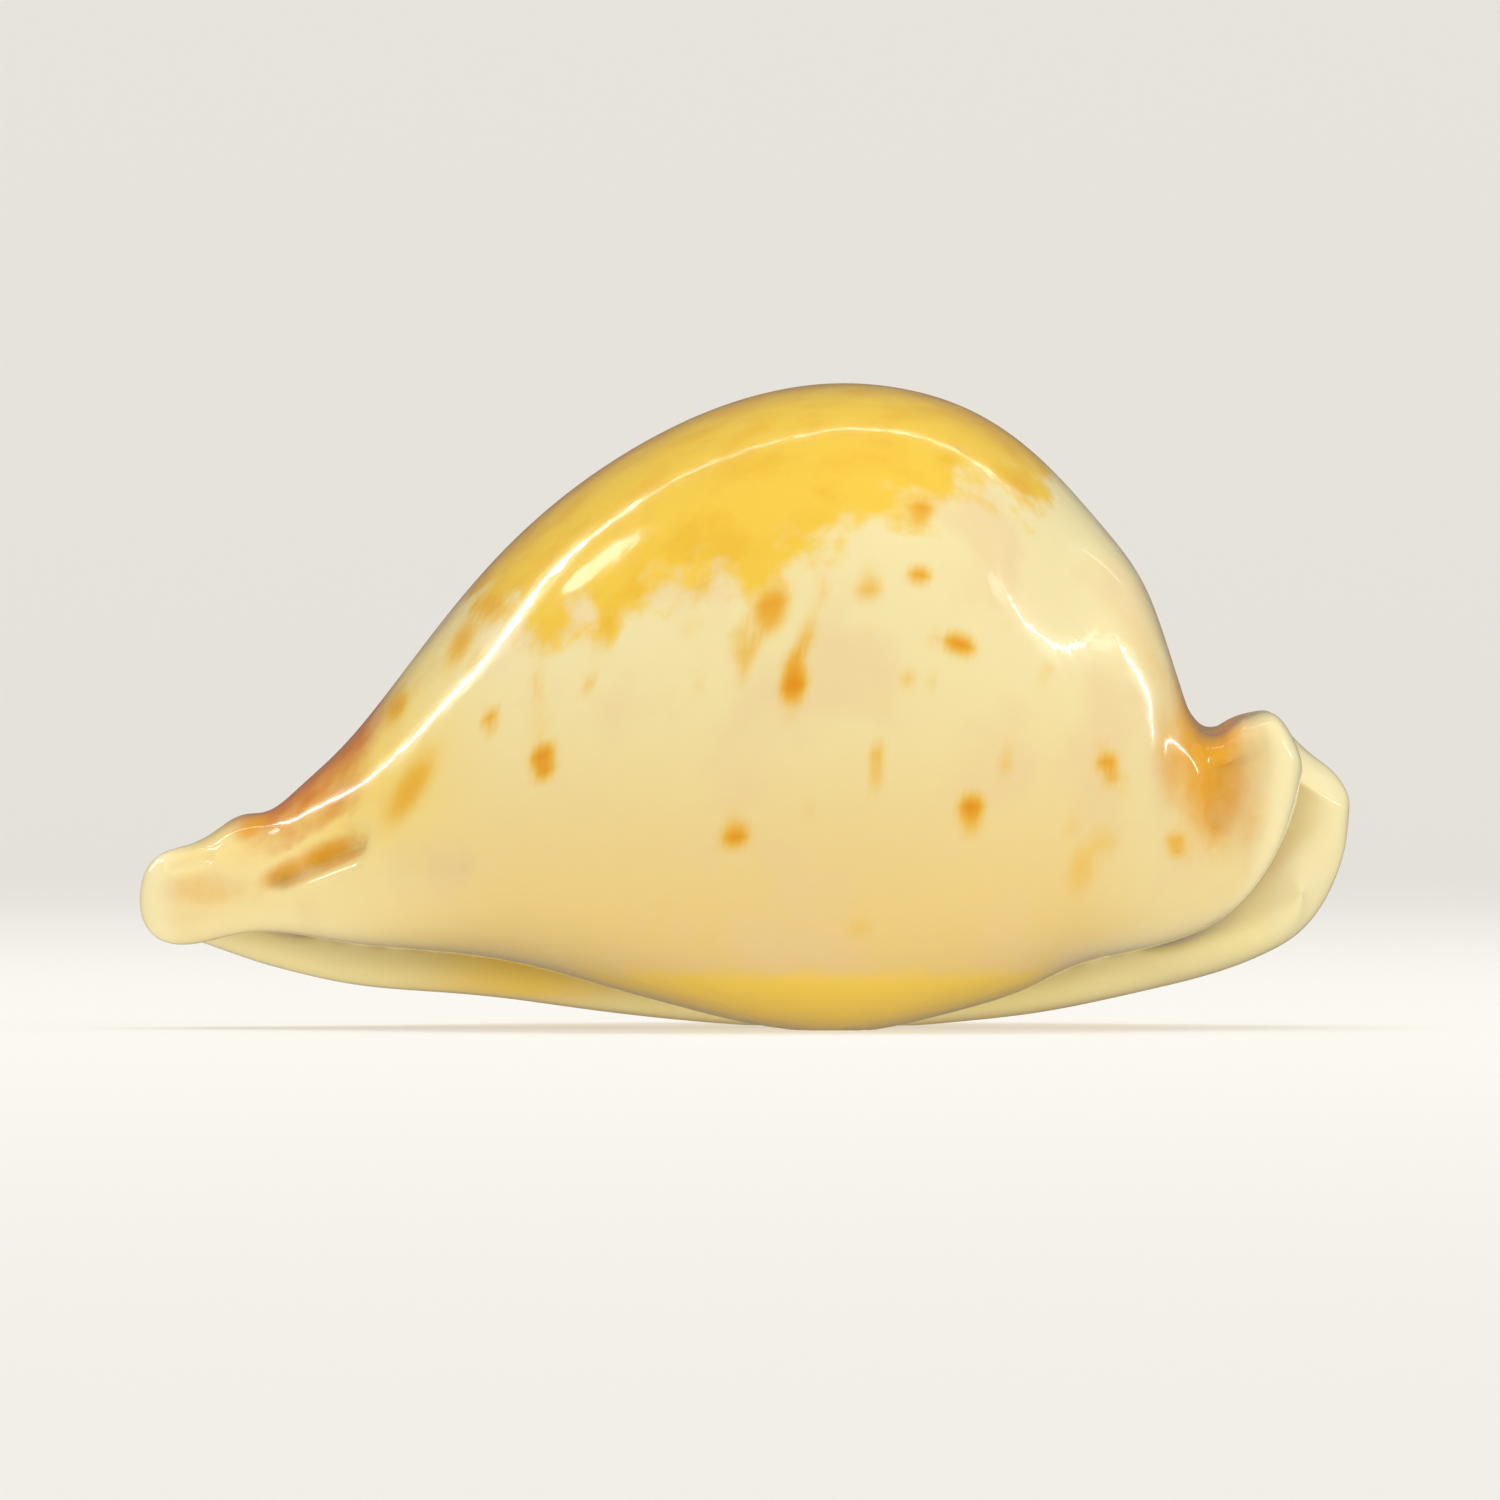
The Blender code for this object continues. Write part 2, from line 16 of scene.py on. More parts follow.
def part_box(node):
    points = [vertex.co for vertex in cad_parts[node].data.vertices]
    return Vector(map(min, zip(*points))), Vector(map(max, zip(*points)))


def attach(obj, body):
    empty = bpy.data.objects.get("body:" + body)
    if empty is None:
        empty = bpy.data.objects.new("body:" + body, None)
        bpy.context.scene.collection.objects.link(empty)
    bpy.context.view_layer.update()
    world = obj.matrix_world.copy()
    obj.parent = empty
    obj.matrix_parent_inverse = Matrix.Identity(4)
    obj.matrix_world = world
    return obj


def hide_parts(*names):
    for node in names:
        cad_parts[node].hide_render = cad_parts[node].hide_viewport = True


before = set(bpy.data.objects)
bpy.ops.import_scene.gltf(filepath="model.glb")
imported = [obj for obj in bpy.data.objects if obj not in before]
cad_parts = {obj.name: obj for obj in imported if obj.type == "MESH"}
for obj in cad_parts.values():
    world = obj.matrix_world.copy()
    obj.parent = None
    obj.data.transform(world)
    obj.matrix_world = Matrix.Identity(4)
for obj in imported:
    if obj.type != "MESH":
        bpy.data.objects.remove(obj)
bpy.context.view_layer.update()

SHELL_LOW, SHELL_HIGH = (np.array(corner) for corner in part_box("shell"))
MM = 0.001

# Driving dimensions of the relief and the wall, in mm; length, width and height are the solid's
TOOTH_PITCH_OUTER = 3.1
TOOTH_PITCH_INNER = 2.9
TOOTH_HEIGHT_OUTER = 0.85
TOOTH_HEIGHT_INNER = 0.6
TOOTH_REACH_INNER = 4.6
TOOTH_REACH_OUTER = 3.4
TOOTH_RISE_MIDDLE = 1.0
TOOTH_RISE_ENDS = 2.4
TOOTH_SHARPNESS = 1.3
TOOTH_SINK = 0.35
TOOTH_FACING = (-0.3, 0.4)

# Where the rows of teeth begin and end, their middle, and how far from it they shrink and rise, in mm
FIRST_TEETH = (-41.0, -34.0)
LAST_TEETH = (28.0, 35.0)
MIDDLE_TOOTH = 3.0
TOOTH_ENDS = (6.0, 20.0)

# By what share the reach shrinks at the row's ends, and over what share of it a tooth is full
REACH_LOSS = 0.4
FULL_REACH = 0.4

# How the two ends' rims are rounded, and how thick the chamber's floor is, in mm
RIM_RADIUS = 2.4
RIM_CLOSING = 0.82
FLOOR_THICKNESS = 5.0

# The wall that rises from each lip into the chamber: its height over the floor, how far it leans away from
# the aperture, and its thickness at the top and at the foot, in mm
INNER_WALL = (11.0, 2.4, 0.8, 3.0)
OUTER_WALL = (1.2, 0.4, 0.8, 3.0)

# How the wall's face curves down to the lip, and how high over the floor the wall's back ends, in mm
WALL_CURVE = 1.5
WALL_BACK_END = 0.5

# Each profile below is a list of (x, value) in mm, from the front end to the rear end
CREST = [(-48.4, 15.2), (-46.0, 15.0), (-44.0, 14.9), (-42.2, 15.9), (-40.4, 17.1), (-38.2, 17.2),
         (-36.0, 19.0), (-33.0, 21.7), (-28.0, 27.7), (-22.0, 35.4), (-15.7, 41.7), (-9.7, 46.0),
         (-3.7, 49.1), (2.3, 51.0), (7.3, 51.6), (12.3, 51.2), (18.3, 49.3), (24.3, 44.9), (28.3, 40.4),
         (30.5, 37.7), (32.4, 34.4), (34.2, 28.6), (35.2, 25.5), (36.5, 23.5), (38.4, 24.6), (40.5, 25.2),
         (42.6, 25.3), (44.2, 23.2), (46.2, 22.3), (48.4, 21.6)]
CREST_SIDE = [(-48.4, 0.0), (-30.0, 0.0), (0.0, 0.8), (20.0, 0.5), (36.0, 0.0), (48.4, 0.0)]

WIDTH_INNER_LIP = [(-48.4, 5.4), (-46.0, 6.6), (-42.0, 7.6), (-38.0, 8.6), (-34.0, 11.0), (-30.0, 14.8),
                   (-25.0, 19.6), (-18.0, 25.0), (-10.0, 29.0), (-2.0, 31.1), (6.0, 31.8), (14.0, 31.0),
                   (20.0, 28.8), (26.0, 24.6), (30.0, 20.6), (33.0, 17.2), (36.0, 14.4), (39.0, 13.2),
                   (44.0, 12.4)]
WIDTH_OUTER_LIP = [(-48.4, 5.0), (-44.0, 7.0), (-38.0, 9.0), (-34.0, 11.0), (-30.0, 14.0), (-25.0, 18.8),
                   (-18.0, 24.4), (-10.0, 28.9), (-2.0, 31.2), (6.0, 31.8), (14.0, 31.3), (20.0, 29.7),
                   (26.0, 26.7), (32.0, 22.0), (36.0, 18.6), (40.0, 16.0), (44.0, 13.4), (48.4, 8.6)]
WIDEST_INNER_LIP = [(-48.4, 10.6), (-40.0, 11.2), (-32.0, 12.5), (-20.0, 15.5), (0.0, 19.0), (14.0, 19.5),
                    (26.0, 18.5), (36.0, 18.0), (40.0, 19.0), (44.0, 20.5)]
WIDEST_OUTER_LIP = [(-48.4, 10.0), (-40.0, 10.0), (-30.0, 11.5), (-15.0, 15.0), (0.0, 18.0), (14.0, 18.0),
                    (26.0, 16.0), (36.0, 14.5), (42.0, 14.8), (48.4, 16.6)]

BASE_INNER_LIP = [(-48.4, 6.6), (-46.0, 6.6), (-44.0, 6.7), (-41.3, 7.35), (-37.5, 7.7), (-33.2, 7.0),
                  (-25.1, 6.1), (-18.6, 5.25), (-16.6, 4.8), (-13.9, 4.1), (-10.1, 3.0), (-5.0, 1.65),
                  (-1.1, 0.65), (4.2, -0.2), (7.0, -0.4), (10.8, -0.05), (14.8, 0.85), (18.8, 1.9),
                  (22.8, 3.3), (26.3, 5.0), (30.0, 5.9), (33.2, 6.7), (36.5, 7.9), (39.6, 9.6),
                  (42.0, 10.6), (44.0, 11.4)]
BASE_OUTER_LIP = [(-48.4, 8.8), (-46.0, 7.4), (-43.7, 6.7), (-40.0, 5.4), (-36.0, 4.25), (-31.7, 3.3),
                  (-25.7, 2.7), (-19.7, 2.15), (-13.7, 1.3), (-7.7, 0.55), (-1.7, 0.0), (4.0, -0.3),
                  (10.3, -0.35), (16.3, 0.1), (24.3, 1.05), (32.3, 2.8), (38.0, 4.3), (42.0, 5.9),
                  (44.8, 7.4), (48.4, 9.2)]
BOTTOM_INNER_LIP = [(-48.4, 4.2), (-40.0, 5.5), (-30.0, 7.0), (-15.0, 9.0), (0.0, 10.0), (15.0, 10.0),
                    (28.0, 8.5), (38.0, 7.2), (44.0, 7.0)]
BOTTOM_OUTER_LIP = [(-48.4, 4.0), (-40.0, 6.5), (-30.0, 9.5), (-15.0, 14.0), (0.0, 16.0), (15.0, 15.5),
                    (28.0, 12.5), (38.0, 9.6), (48.4, 5.8)]

APERTURE = [(-48.4, 0.0), (-40.0, 0.5), (-30.0, 2.0), (-15.0, 4.5), (0.0, 5.5), (15.0, 5.0), (28.0, 2.5),
            (36.0, 0.4), (48.4, -1.2)]
HALF_GAP = [(-48.4, 2.2), (-40.0, 3.2), (-30.0, 4.4), (-10.0, 4.0), (10.0, 3.5), (25.0, 3.1), (36.0, 2.6),
            (48.4, 2.4)]
LIP_HEIGHT = [(-48.4, 2.4), (-30.0, 2.6), (0.0, 2.8), (30.0, 2.8), (40.0, 3.4), (48.4, 3.6)]

CAVITY_INNER_LIP = [(-48.4, 2.3), (-42.0, 2.6), (-37.0, 4.0), (-33.0, 7.6), (-30.0, 10.8), (-20.0, 20.4),
                    (-10.0, 25.8), (0.0, 28.0), (8.0, 28.4), (16.0, 27.2), (24.0, 23.0), (29.0, 18.4),
                    (32.0, 14.4), (35.0, 8.0), (38.0, 4.0), (44.0, 3.6)]
CAVITY_OUTER_LIP = [(-48.4, 2.4), (-42.0, 3.4), (-37.0, 5.4), (-33.0, 8.6), (-30.0, 11.0), (-20.0, 19.6),
                    (-10.0, 25.8), (0.0, 28.2), (8.0, 28.4), (16.0, 27.4), (24.0, 24.4), (32.0, 18.0),
                    (36.0, 10.0), (39.0, 4.2), (48.4, 1.8)]
CAVITY_TOP = [(-48.4, 11.8), (-42.0, 12.9), (-37.0, 14.5), (-33.0, 17.9), (-28.0, 24.0), (-20.0, 34.2),
              (-10.0, 42.6), (0.0, 47.3), (8.0, 48.4), (14.0, 47.6), (20.0, 45.0), (28.0, 36.9),
              (31.5, 31.5), (34.0, 24.6), (36.5, 20.8), (40.0, 21.0), (44.0, 20.0), (48.4, 17.4)]
CAVITY_MIDDLE = [(-48.4, 10.4), (-40.0, 10.8), (-30.0, 13.5), (-15.0, 18.0), (0.0, 21.0), (14.0, 21.5),
                 (26.0, 19.5), (34.0, 17.6), (40.0, 17.4), (48.4, 16.2)]

# How square the upper and the lower half of a cross-section are: 2 is an ellipse, more is squarer
SQUARENESS_UPPER = [(-48.4, 2.6), (-38.0, 2.3), (-25.0, 2.0), (0.0, 2.1), (20.0, 2.1), (29.0, 2.3),
                    (34.5, 3.6), (39.0, 3.9), (48.4, 2.9)]
SQUARENESS_LOWER = [(-48.4, 2.3), (-20.0, 2.4), (10.0, 2.4), (30.0, 2.3), (48.4, 2.2)]
CAVITY_SQUARENESS = 2.2
CANAL_SQUARENESS = 2.0

# Where the front and rear rims lie: (place across the section, x); 0 is the lip's tip, 20 the roof's middle
FRONT_RIM_INNER_LIP = [(0.0, -45.4), (8.0, -47.4), (10.0, -48.1), (13.0, -48.4), (15.5, -48.0),
                       (17.5, -47.0), (20.0, -44.2)]
FRONT_RIM_OUTER_LIP = [(0.0, -44.8), (8.0, -45.8), (10.5, -47.2), (13.0, -47.6), (15.0, -47.4),
                       (17.0, -46.6), (20.0, -44.2)]
REAR_RIM_INNER_LIP = [(0.0, 39.4), (8.0, 40.2), (10.5, 42.6), (13.0, 44.0), (16.5, 44.3), (18.0, 44.0),
                      (20.0, 42.6)]
REAR_RIM_OUTER_LIP = [(0.0, 44.6), (5.0, 45.0), (8.0, 46.2), (10.5, 47.8), (13.0, 48.4), (15.5, 48.4),
                      (17.0, 47.6), (20.0, 42.6)]

# Points across one half of a section: the lip's face, its underside, the lower side, the upper side. The
# surface between them is halved this many times
FACE, UNDERSIDE, LOWER, UPPER = 4, 4, 5, 7
HALF = FACE + UNDERSIDE + LOWER + UPPER
SMOOTHING_LEVELS = 2

# Where the section is that of the chamber (1) and where that of an open canal (0)
CHAMBER = [(-38.0, 0.0), (-27.0, 1.0), (25.0, 1.0), (35.0, 0.0)]

# The rings' distances from each rim, then the step between rings, which is smaller at the beak and the collar
RIM_STEPS = [0.0, 0.35, 0.9, 1.7, 2.7, 3.8]
STEP = 1.95
STEP_SAVED = 0.85
BUSY_PLACES = (-40.0, 37.0)
BUSY_REACH = 7.0

# Hollows face up and out from the inner lip's side, fade where the surface turns away from there, and fade
# towards the middle line over these y
HOLLOWS_FACE = (0.0, -0.87, 0.5)
HOLLOWS_FACING = (0.05, 0.5)
HOLLOWS_END = (-6.0, 1.0)
HOLLOW_STEEPNESS = 2.6

# Hollows on the inner lip's side. Each has its start (x, z) and end (x, z), then pairs for start and end: the
# depth, the half width on the left of the way from start to end, and the half width on its right
HOLLOWS = [
    ((-37.0, 12.0), (-31.9, 14.9), (1.5, 1.8), (0.8, 1.0), (0.9, 1.4)),
    ((-28.0, 13.4), (-23.2, 12.9), (0.6, 0.6), (1.3, 1.3), (1.3, 1.3)),
    ((-46.0, 11.0), (-41.0, 11.2), (0.35, 0.35), (1.1, 1.1), (1.2, 1.2)),
    ((-45.6, 12.9), (-43.0, 13.6), (0.3, 0.3), (0.4, 0.4), (0.5, 0.5)),
    ((34.4, 25.0), (34.2, 16.5), (0.35, 0.35), (1.6, 1.6), (1.9, 1.6)),
    ((39.2, 21.4), (38.4, 15.5), (0.8, 0.8), (3.0, 2.4), (2.6, 2.4)),
    ((38.9, 21.6), (37.8, 16.4), (1.5, 1.0), (2.3, 1.0), (2.3, 1.0)),
]

# Colours, as red, green and blue from 0 to 255, and the floor's glow and finish
CREAM = (236, 221, 166)
PEACH = (233, 204, 132)
LEMON = (242, 221, 158)
GOLD = (244, 210, 100)
PINK = (231, 203, 152)
YELLOW = (238, 198, 70)
MUSTARD = (232, 184, 52)
ORANGE = (224, 142, 16)
BURNT = (208, 118, 22)
AMBER = (226, 160, 30)
# The base's apricot, lightened past the shell's own as painted light against the shade under the shell
APRICOT_PAINTED_LIGHTER = (248, 210, 86)
IVORY = (245, 232, 182)
# The outer lip's cream, lightened past the shell's own as painted light where its face lies in shade under
# the inner lip
LIP_CREAM_PAINTED_LIGHTER = (254, 237, 170)
CHAMBER_WHITE = (226, 214, 198)
FLOOR_TONE = (165, 165, 163)
FLOOR_GLOW_TONE = (255, 250, 240)
FLOOR_GLOW = 0.55
FLOOR_ROUGHNESS = 0.9
FLOOR_SPECULAR = 0.1

# Lower edge of the yellow back, as (x, height) in mm, on the inner lip's side and on the outer lip's side
YELLOW_EDGE_NEAR = [
    (-24.0, 36.0), (-21.3, 33.8), (-18.1, 32.9), (-14.9, 31.0), (-12.5, 33.3), (-10.8, 30.8), (-8.5, 34.2),
    (-4.5, 35.8), (0.0, 35.0), (3.5, 36.6), (6.7, 38.4), (8.1, 39.6), (11.5, 40.8), (15.1, 41.3),
    (16.7, 43.7), (20.3, 42.6), (23.5, 41.8), (26.0, 44.8),
]
YELLOW_EDGE_FAR = [
    (-24.0, 36.5), (-20.0, 31.5), (-16.0, 33.0), (-12.0, 29.0), (-8.0, 31.5), (-3.0, 34.0), (2.0, 31.5),
    (6.0, 35.0), (11.0, 37.5), (15.0, 36.0), (19.0, 40.5), (23.0, 41.0), (26.0, 44.8),
]

# How steep the marks' edges are
MARK_STEEPNESS = 1.4

# Orange marks under the glaze: (x, height) of the middle, half length and half width, turn of the length from
# the x axis in degrees, strength
MARKS_NEAR = [
    (3.7, 27.6, 2.1, 1.15, 84, 1.0), (4.6, 30.9, 1.8, 0.9, 80, 0.5), (5.3, 33.3, 1.5, 0.7, 78, 0.3),
    (6.0, 35.2, 0.9, 0.9, 0, 0.55), (-16.0, 21.4, 1.6, 1.15, 90, 0.95), (-16.2, 24.6, 2.4, 1.2, 90, 0.25),
    (-16.5, 27.4, 1.1, 0.7, 90, 0.4), (-0.9, 15.8, 1.3, 1.2, 0, 0.9), (17.6, 17.3, 1.35, 1.2, 90, 1.0),
    (1.9, 33.4, 2.3, 1.6, 66, 0.75), (-0.2, 30.6, 1.5, 1.3, 20, 0.6), (-0.2, 28.2, 1.1, 0.7, 90, 0.4),
    (16.7, 30.5, 1.5, 0.9, -20, 0.85), (14.6, 31.5, 1.5, 0.6, -25, 0.4), (10.2, 21.0, 1.5, 0.85, 88, 0.7),
    (13.7, 41.0, 1.35, 1.2, 0, 0.75), (9.6, 35.3, 1.35, 1.05, 0, 0.65), (13.6, 36.0, 1.1, 0.85, 5, 0.7),
    (28.5, 21.0, 1.7, 1.0, -62, 0.75), (29.6, 19.6, 1.2, 0.9, -60, 0.35),
    (-20.2, 24.6, 1.15, 0.85, 75, 0.65), (12.7, 28.2, 0.85, 0.75, 0, 0.5), (14.5, 27.3, 0.6, 0.6, 0, 0.35),
    (-12.4, 27.3, 0.8, 0.75, 0, 0.45), (-9.4, 27.8, 0.8, 0.7, 0, 0.35), (-4.0, 27.9, 0.9, 0.8, 0, 0.45),
    (-6.0, 25.9, 0.9, 0.5, 90, 0.22), (20.4, 21.6, 1.1, 0.8, 90, 0.52), (4.9, 17.8, 0.8, 0.7, 90, 0.22),
    (8.9, 8.2, 1.1, 1.0, 0, 0.35), (9.5, 31.6, 0.6, 0.6, 0, 0.2), (23.6, 28.3, 0.9, 0.8, 60, 0.38),
    (-3.5, 35.0, 1.0, 0.9, 0, 0.45), (11.0, 25.8, 0.6, 0.5, 0, 0.2), (34.0, 14.8, 1.3, 1.0, -70, 0.6),
    (25.6, 16.2, 1.2, 0.7, 90, 0.3), (26.4, 12.9, 2.4, 1.3, 75, 0.42), (28.0, 15.0, 1.6, 1.4, 0, 0.36),
    (-20.3, 33.6, 1.9, 1.4, 40, 0.6), (-22.6, 30.8, 2.6, 1.0, 62, 0.6), (-21.4, 29.2, 1.4, 0.6, 55, 0.45),
    (-27.8, 25.7, 1.7, 0.9, 62, 0.7), (-26.6, 19.2, 4.0, 1.4, 58, 0.6), (-15.3, 31.6, 2.2, 1.5, 30, 0.35),
    (-10.9, 32.2, 2.8, 1.1, 70, 0.45), (-4.4, 31.9, 1.6, 0.9, 40, 0.25), (0.1, 37.6, 2.6, 1.5, 10, 0.35),
    (3.7, 39.3, 2.2, 1.2, 15, 0.35), (9.6, 45.0, 3.0, 0.9, 5, 0.3), (15.9, 45.2, 1.2, 1.0, 0, 0.5),
    (21.6, 43.2, 2.0, 0.9, -35, 0.5), (-6.5, 9.5, 1.4, 1.0, 0, 0.12), (2.6, 22.4, 1.2, 0.8, 90, 0.1),
    (27.6, 37.2, 0.9, 0.7, 0, 0.15),
]
MARKS_FAR = [
    (-17.5, 20.0, 1.7, 1.2, 80, 0.95), (-11.0, 13.5, 1.3, 1.1, 0, 0.8), (-6.0, 21.5, 1.1, 0.9, 90, 0.5),
    (-2.0, 27.5, 2.0, 1.2, 70, 0.9), (-1.0, 17.0, 1.3, 1.2, 0, 0.85), (4.5, 23.0, 1.0, 0.8, 90, 0.5),
    (6.5, 12.5, 1.2, 1.0, 0, 0.7), (9.5, 28.5, 1.8, 1.1, 100, 0.85), (13.0, 19.0, 1.4, 1.2, 0, 0.9),
    (17.5, 25.5, 1.3, 0.9, 60, 0.6), (19.5, 33.0, 1.5, 1.1, 0, 0.75), (23.0, 17.5, 1.3, 1.0, 90, 0.65),
    (27.5, 24.0, 1.2, 0.8, 60, 0.5), (14.0, 34.0, 1.1, 0.9, 0, 0.5), (-12.0, 26.5, 1.0, 0.8, 0, 0.5),
    (-22.0, 26.5, 1.5, 0.9, 50, 0.6), (-25.0, 18.0, 1.2, 0.8, 60, 0.45), (5.0, 33.0, 1.6, 1.2, 40, 0.55),
    (-8.0, 29.5, 1.4, 1.0, 40, 0.5), (29.0, 15.0, 1.0, 0.8, 0, 0.4), (0.5, 9.5, 0.9, 0.8, 0, 0.3),
    (-16.0, 10.5, 0.9, 0.7, 0, 0.35), (18.0, 12.5, 1.0, 0.9, 0, 0.4), (10.0, 23.5, 0.7, 0.6, 0, 0.3),
    (-4.0, 33.5, 1.6, 1.2, 20, 0.4), (24.0, 30.5, 0.9, 0.8, 0, 0.35), (33.0, 18.0, 1.2, 0.8, 80, 0.4),
]

# Deep orange places on the inner lip's side, in the same form as the marks, and the y over which they end.
# They are partly the shell's own orange and partly painted shade in the front pit, the beak's recess and the
# rear pit
ORANGE_AND_HOLLOW_SHADE = [
    (-36.6, 12.5, 2.6, 1.0, 25, 0.66), (-33.3, 14.0, 3.0, 1.1, 24, 0.76), (-39.4, 16.2, 1.8, 0.9, 35, 0.6),
    (-43.4, 11.0, 4.4, 1.5, 0, 0.36), (36.6, 21.8, 8.2, 3.5, 94, 0.72), (39.4, 16.6, 3.0, 2.2, 60, 0.36),
    (35.4, 15.0, 2.6, 1.6, 70, 0.3), (34.2, 21.5, 5.0, 2.2, 95, 0.55), (32.0, 29.3, 5.0, 1.2, 120, 0.25),
]
ORANGE_AND_HOLLOW_SHADE_END = (-4.0, 2.0)

# The orange along the middle of the back, darkest at both ends: (x, strength, half width in mm). It is partly
# the shell's own orange and partly painted shade, deeper where the crest faces up and mirrors a dark surround
DORSAL_STAIN_AND_SHADE = [
    (-46.0, 0.0, 5.0), (-42.0, 0.35, 6.0), (-38.0, 1.0, 9.0), (-31.0, 1.1, 12.5), (-26.5, 0.2, 12.0),
    (-21.0, 0.6, 10.0), (8.0, 0.65, 9.0), (21.0, 0.75, 10.0), (25.5, 0.2, 11.0), (31.0, 0.1, 12.0),
    (33.5, 0.6, 15.0), (35.5, 1.1, 17.0), (37.0, 1.1, 14.0), (40.5, 0.5, 9.0), (44.0, 0.0, 6.0),
]

# Where the yellow back begins and ends along the shell, and how far its lower edge fades up and down, in mm
YELLOW_BEGINS = (-26.5, -21.5)
YELLOW_ENDS = (23.0, 27.5)
YELLOW_FADE = 6.0

# The orange streak inside the outer lip: its middle and half length along x in mm, and its strength
LIP_STREAK = (-17.5, 9.5, 0.85)

# How ivory the rims, the toothed lips and the low edges at both ends are, of all that the rims can be. The
# low edges' ivory is partly the lip's own pale edge and partly a painted highlight along it
RIM_IVORY_AND_HIGHLIGHT = 0.85
LIP_IVORY = 0.8
LOW_EDGE_HIGHLIGHT = 0.5

# Where one colour gives way to the next, each as (start, end) in mm. Along the shell: the lemon front end,
# the crest's orange and painted shade turning from burnt to amber, and the peach's loss at the rear, of which
# REAR_PEACH_LOSS is the most
FRONT_COLOUR = (-34, -18)
STAIN_AND_SHADE_TURNS_AMBER = (-28, -2)
PEACH_LEAVES = (25, 34)
REAR_PEACH_LOSS = 0.6

# Over the height: the foot of the crest's orange and painted shade, the peach of the sides, the apricot base,
# which carries painted light, and the outer lip's pale face, also carrying painted light, with the foot of
# its streak
STAIN_AND_SHADE_FOOT = (11.5, 14.5)
PEACH_HEIGHT = (6, 32)
BASE_HEIGHT = (3.0, 6.2)
PALE_LIP_HEIGHT = (8, 13)
STREAK_FOOT = (1, 3)

# From the inner lip's side to the outer lip's: the turn of the yellow's edge, and the start of the far lip
SIDES_MEET = (-5, 5)
FAR_LIP_STARTS = (0, 3)

# From the rims inwards: their ivory, and the chamber's white, which begins where the skin turns inside. The
# low edges' ivory runs up from the lip's edge and lies beyond given distances in mm to the front and rear of
# a given middle x; it is partly the lip's pale edge and partly a painted highlight
RIM_FADE = (0.6, 3.4)
SKIN_TURNS = (0.4, 0.9)
CHAMBER_FADE = (3, 12)
LOW_EDGE_HIGHLIGHT_HEIGHT = (0.6, 2.8)
LOW_EDGE_HIGHLIGHT_MIDDLE = -2
LOW_EDGE_HIGHLIGHT_ENDS = (24, 32)

# How far a face has to turn to a side, up or down, and towards the camera, for that side's colours
FACING_SIDE = (-0.15, 0.25)
FACING_UP_OR_DOWN = (-0.1, 0.4)
FACING_NEAR = (0.0, 0.4)

# Noises in the glaze: (grain in mm, detail)
WARP = (3.2, 3.0)
FINE_WARP = (1.1, 2.0)
PINK_CLOUDS = (9.0, 2.0)
MUSTARD_CLOUDS = (4.0, 3.0)
DULL_PATCHES = (2.0, 3.0)
SWELL = (4.5, 3.0)

# How far the two warps push each colour's edge
BASE_WARP = 0.5
BACK_WARP, BACK_FINE_WARP = 1.7, 0.3
STAIN_AND_SHADE_WARP = 0.7
DEEP_AND_HOLLOW_SHADE_WARP = 0.2
MARKS_WARP = 0.1

# Where in its field or noise each colour begins and is full, and its share at both where that isn't 0 and 1
LEMON_IN_GOLD = (0.4, 0.95)
PINK_IN_SIDE = (0.45, 0.7, 0.0, 0.6)
APRICOT_IN_SIDE = (0.1, 0.9)
MUSTARD_IN_YELLOW = (0.42, 0.72, 0.0, 0.8)
YELLOW_IN_BODY = (-0.34, 0.34)
STAIN_AND_SHADE_IN_BODY = (0.1, 0.95)
DEEP_AND_HOLLOW_SHADE_IN_BODY = (0.05, 0.85)
MUSTARD_IN_MARKS = (0.02, 0.7, 0.0, 0.9)
ORANGE_IN_MARKS = (0.3, 1.05)
ROUGHNESS = (0.2, 0.8, 0.1, 0.2)

# The gloss, the light under the surface and the height of the low swell, lengths in metres
GLAZE = {
    "Specular IOR Level": 0.25,
    "Coat Weight": 0.35,
    "Coat Roughness": 0.03,
    "Subsurface Weight": 0.2,
    "Subsurface Radius": (1.0, 0.6, 0.3),
    "Subsurface Scale": 0.0015,
}
SWELL_HEIGHT = 0.00006

# The camera looks along +Y from far off; the frame's width and centre are in mm at the shell's middle
CAMERA_LENS = 450.0
CAMERA_SENSOR = 36.0
CAMERA_CLIP = (0.05, 20.0)
FRAME_WIDTH = 120.0
FRAME_CENTRE = (0.28, 22.24)

# What the lights are turned to
SHELL_MIDDLE = Vector((0.0, 0.0, 0.02))

# Softboxes, which light the shell and aren't mirrored in it: name, place in metres, (width, height), watts
SOFTBOXES = [
    ("front_softbox", (-0.3, -1.15, 0.4), (1.4, 0.8), 0.25),
    ("low_front_softbox", (0.1, -1.9, 0.2), (2.6, 0.38), 10.2),
    ("top_softbox", (0.0, 0.1, 1.1), (1.2, 1.0), 8.8),
    ("left_softbox", (-1.2, -0.3, 0.45), (0.8, 0.8), 1.7),
    ("right_softbox", (1.2, -0.2, 0.45), (0.8, 0.8), 3.0),
]

# Round lamps, which are only mirrored: name, direction from the shell, size in metres, watts
LAMP_DISTANCE = 0.9
ROUND_LAMPS = [
    ("front_lamp", (-0.59, 0.32, 0.74), 0.13, 0.32),
    ("rear_lamp", (0.80, 0.01, 0.60), 0.10, 0.09),
]

# Colour of the surrounding air
AIR_TONE = (0.95, 0.97, 1.0, 1.0)

# Light of the surrounding air, and what of it the gloss mirrors
AIR_LIGHT = 0.45
AIR_LIGHT_IN_GLOSS = 0.17

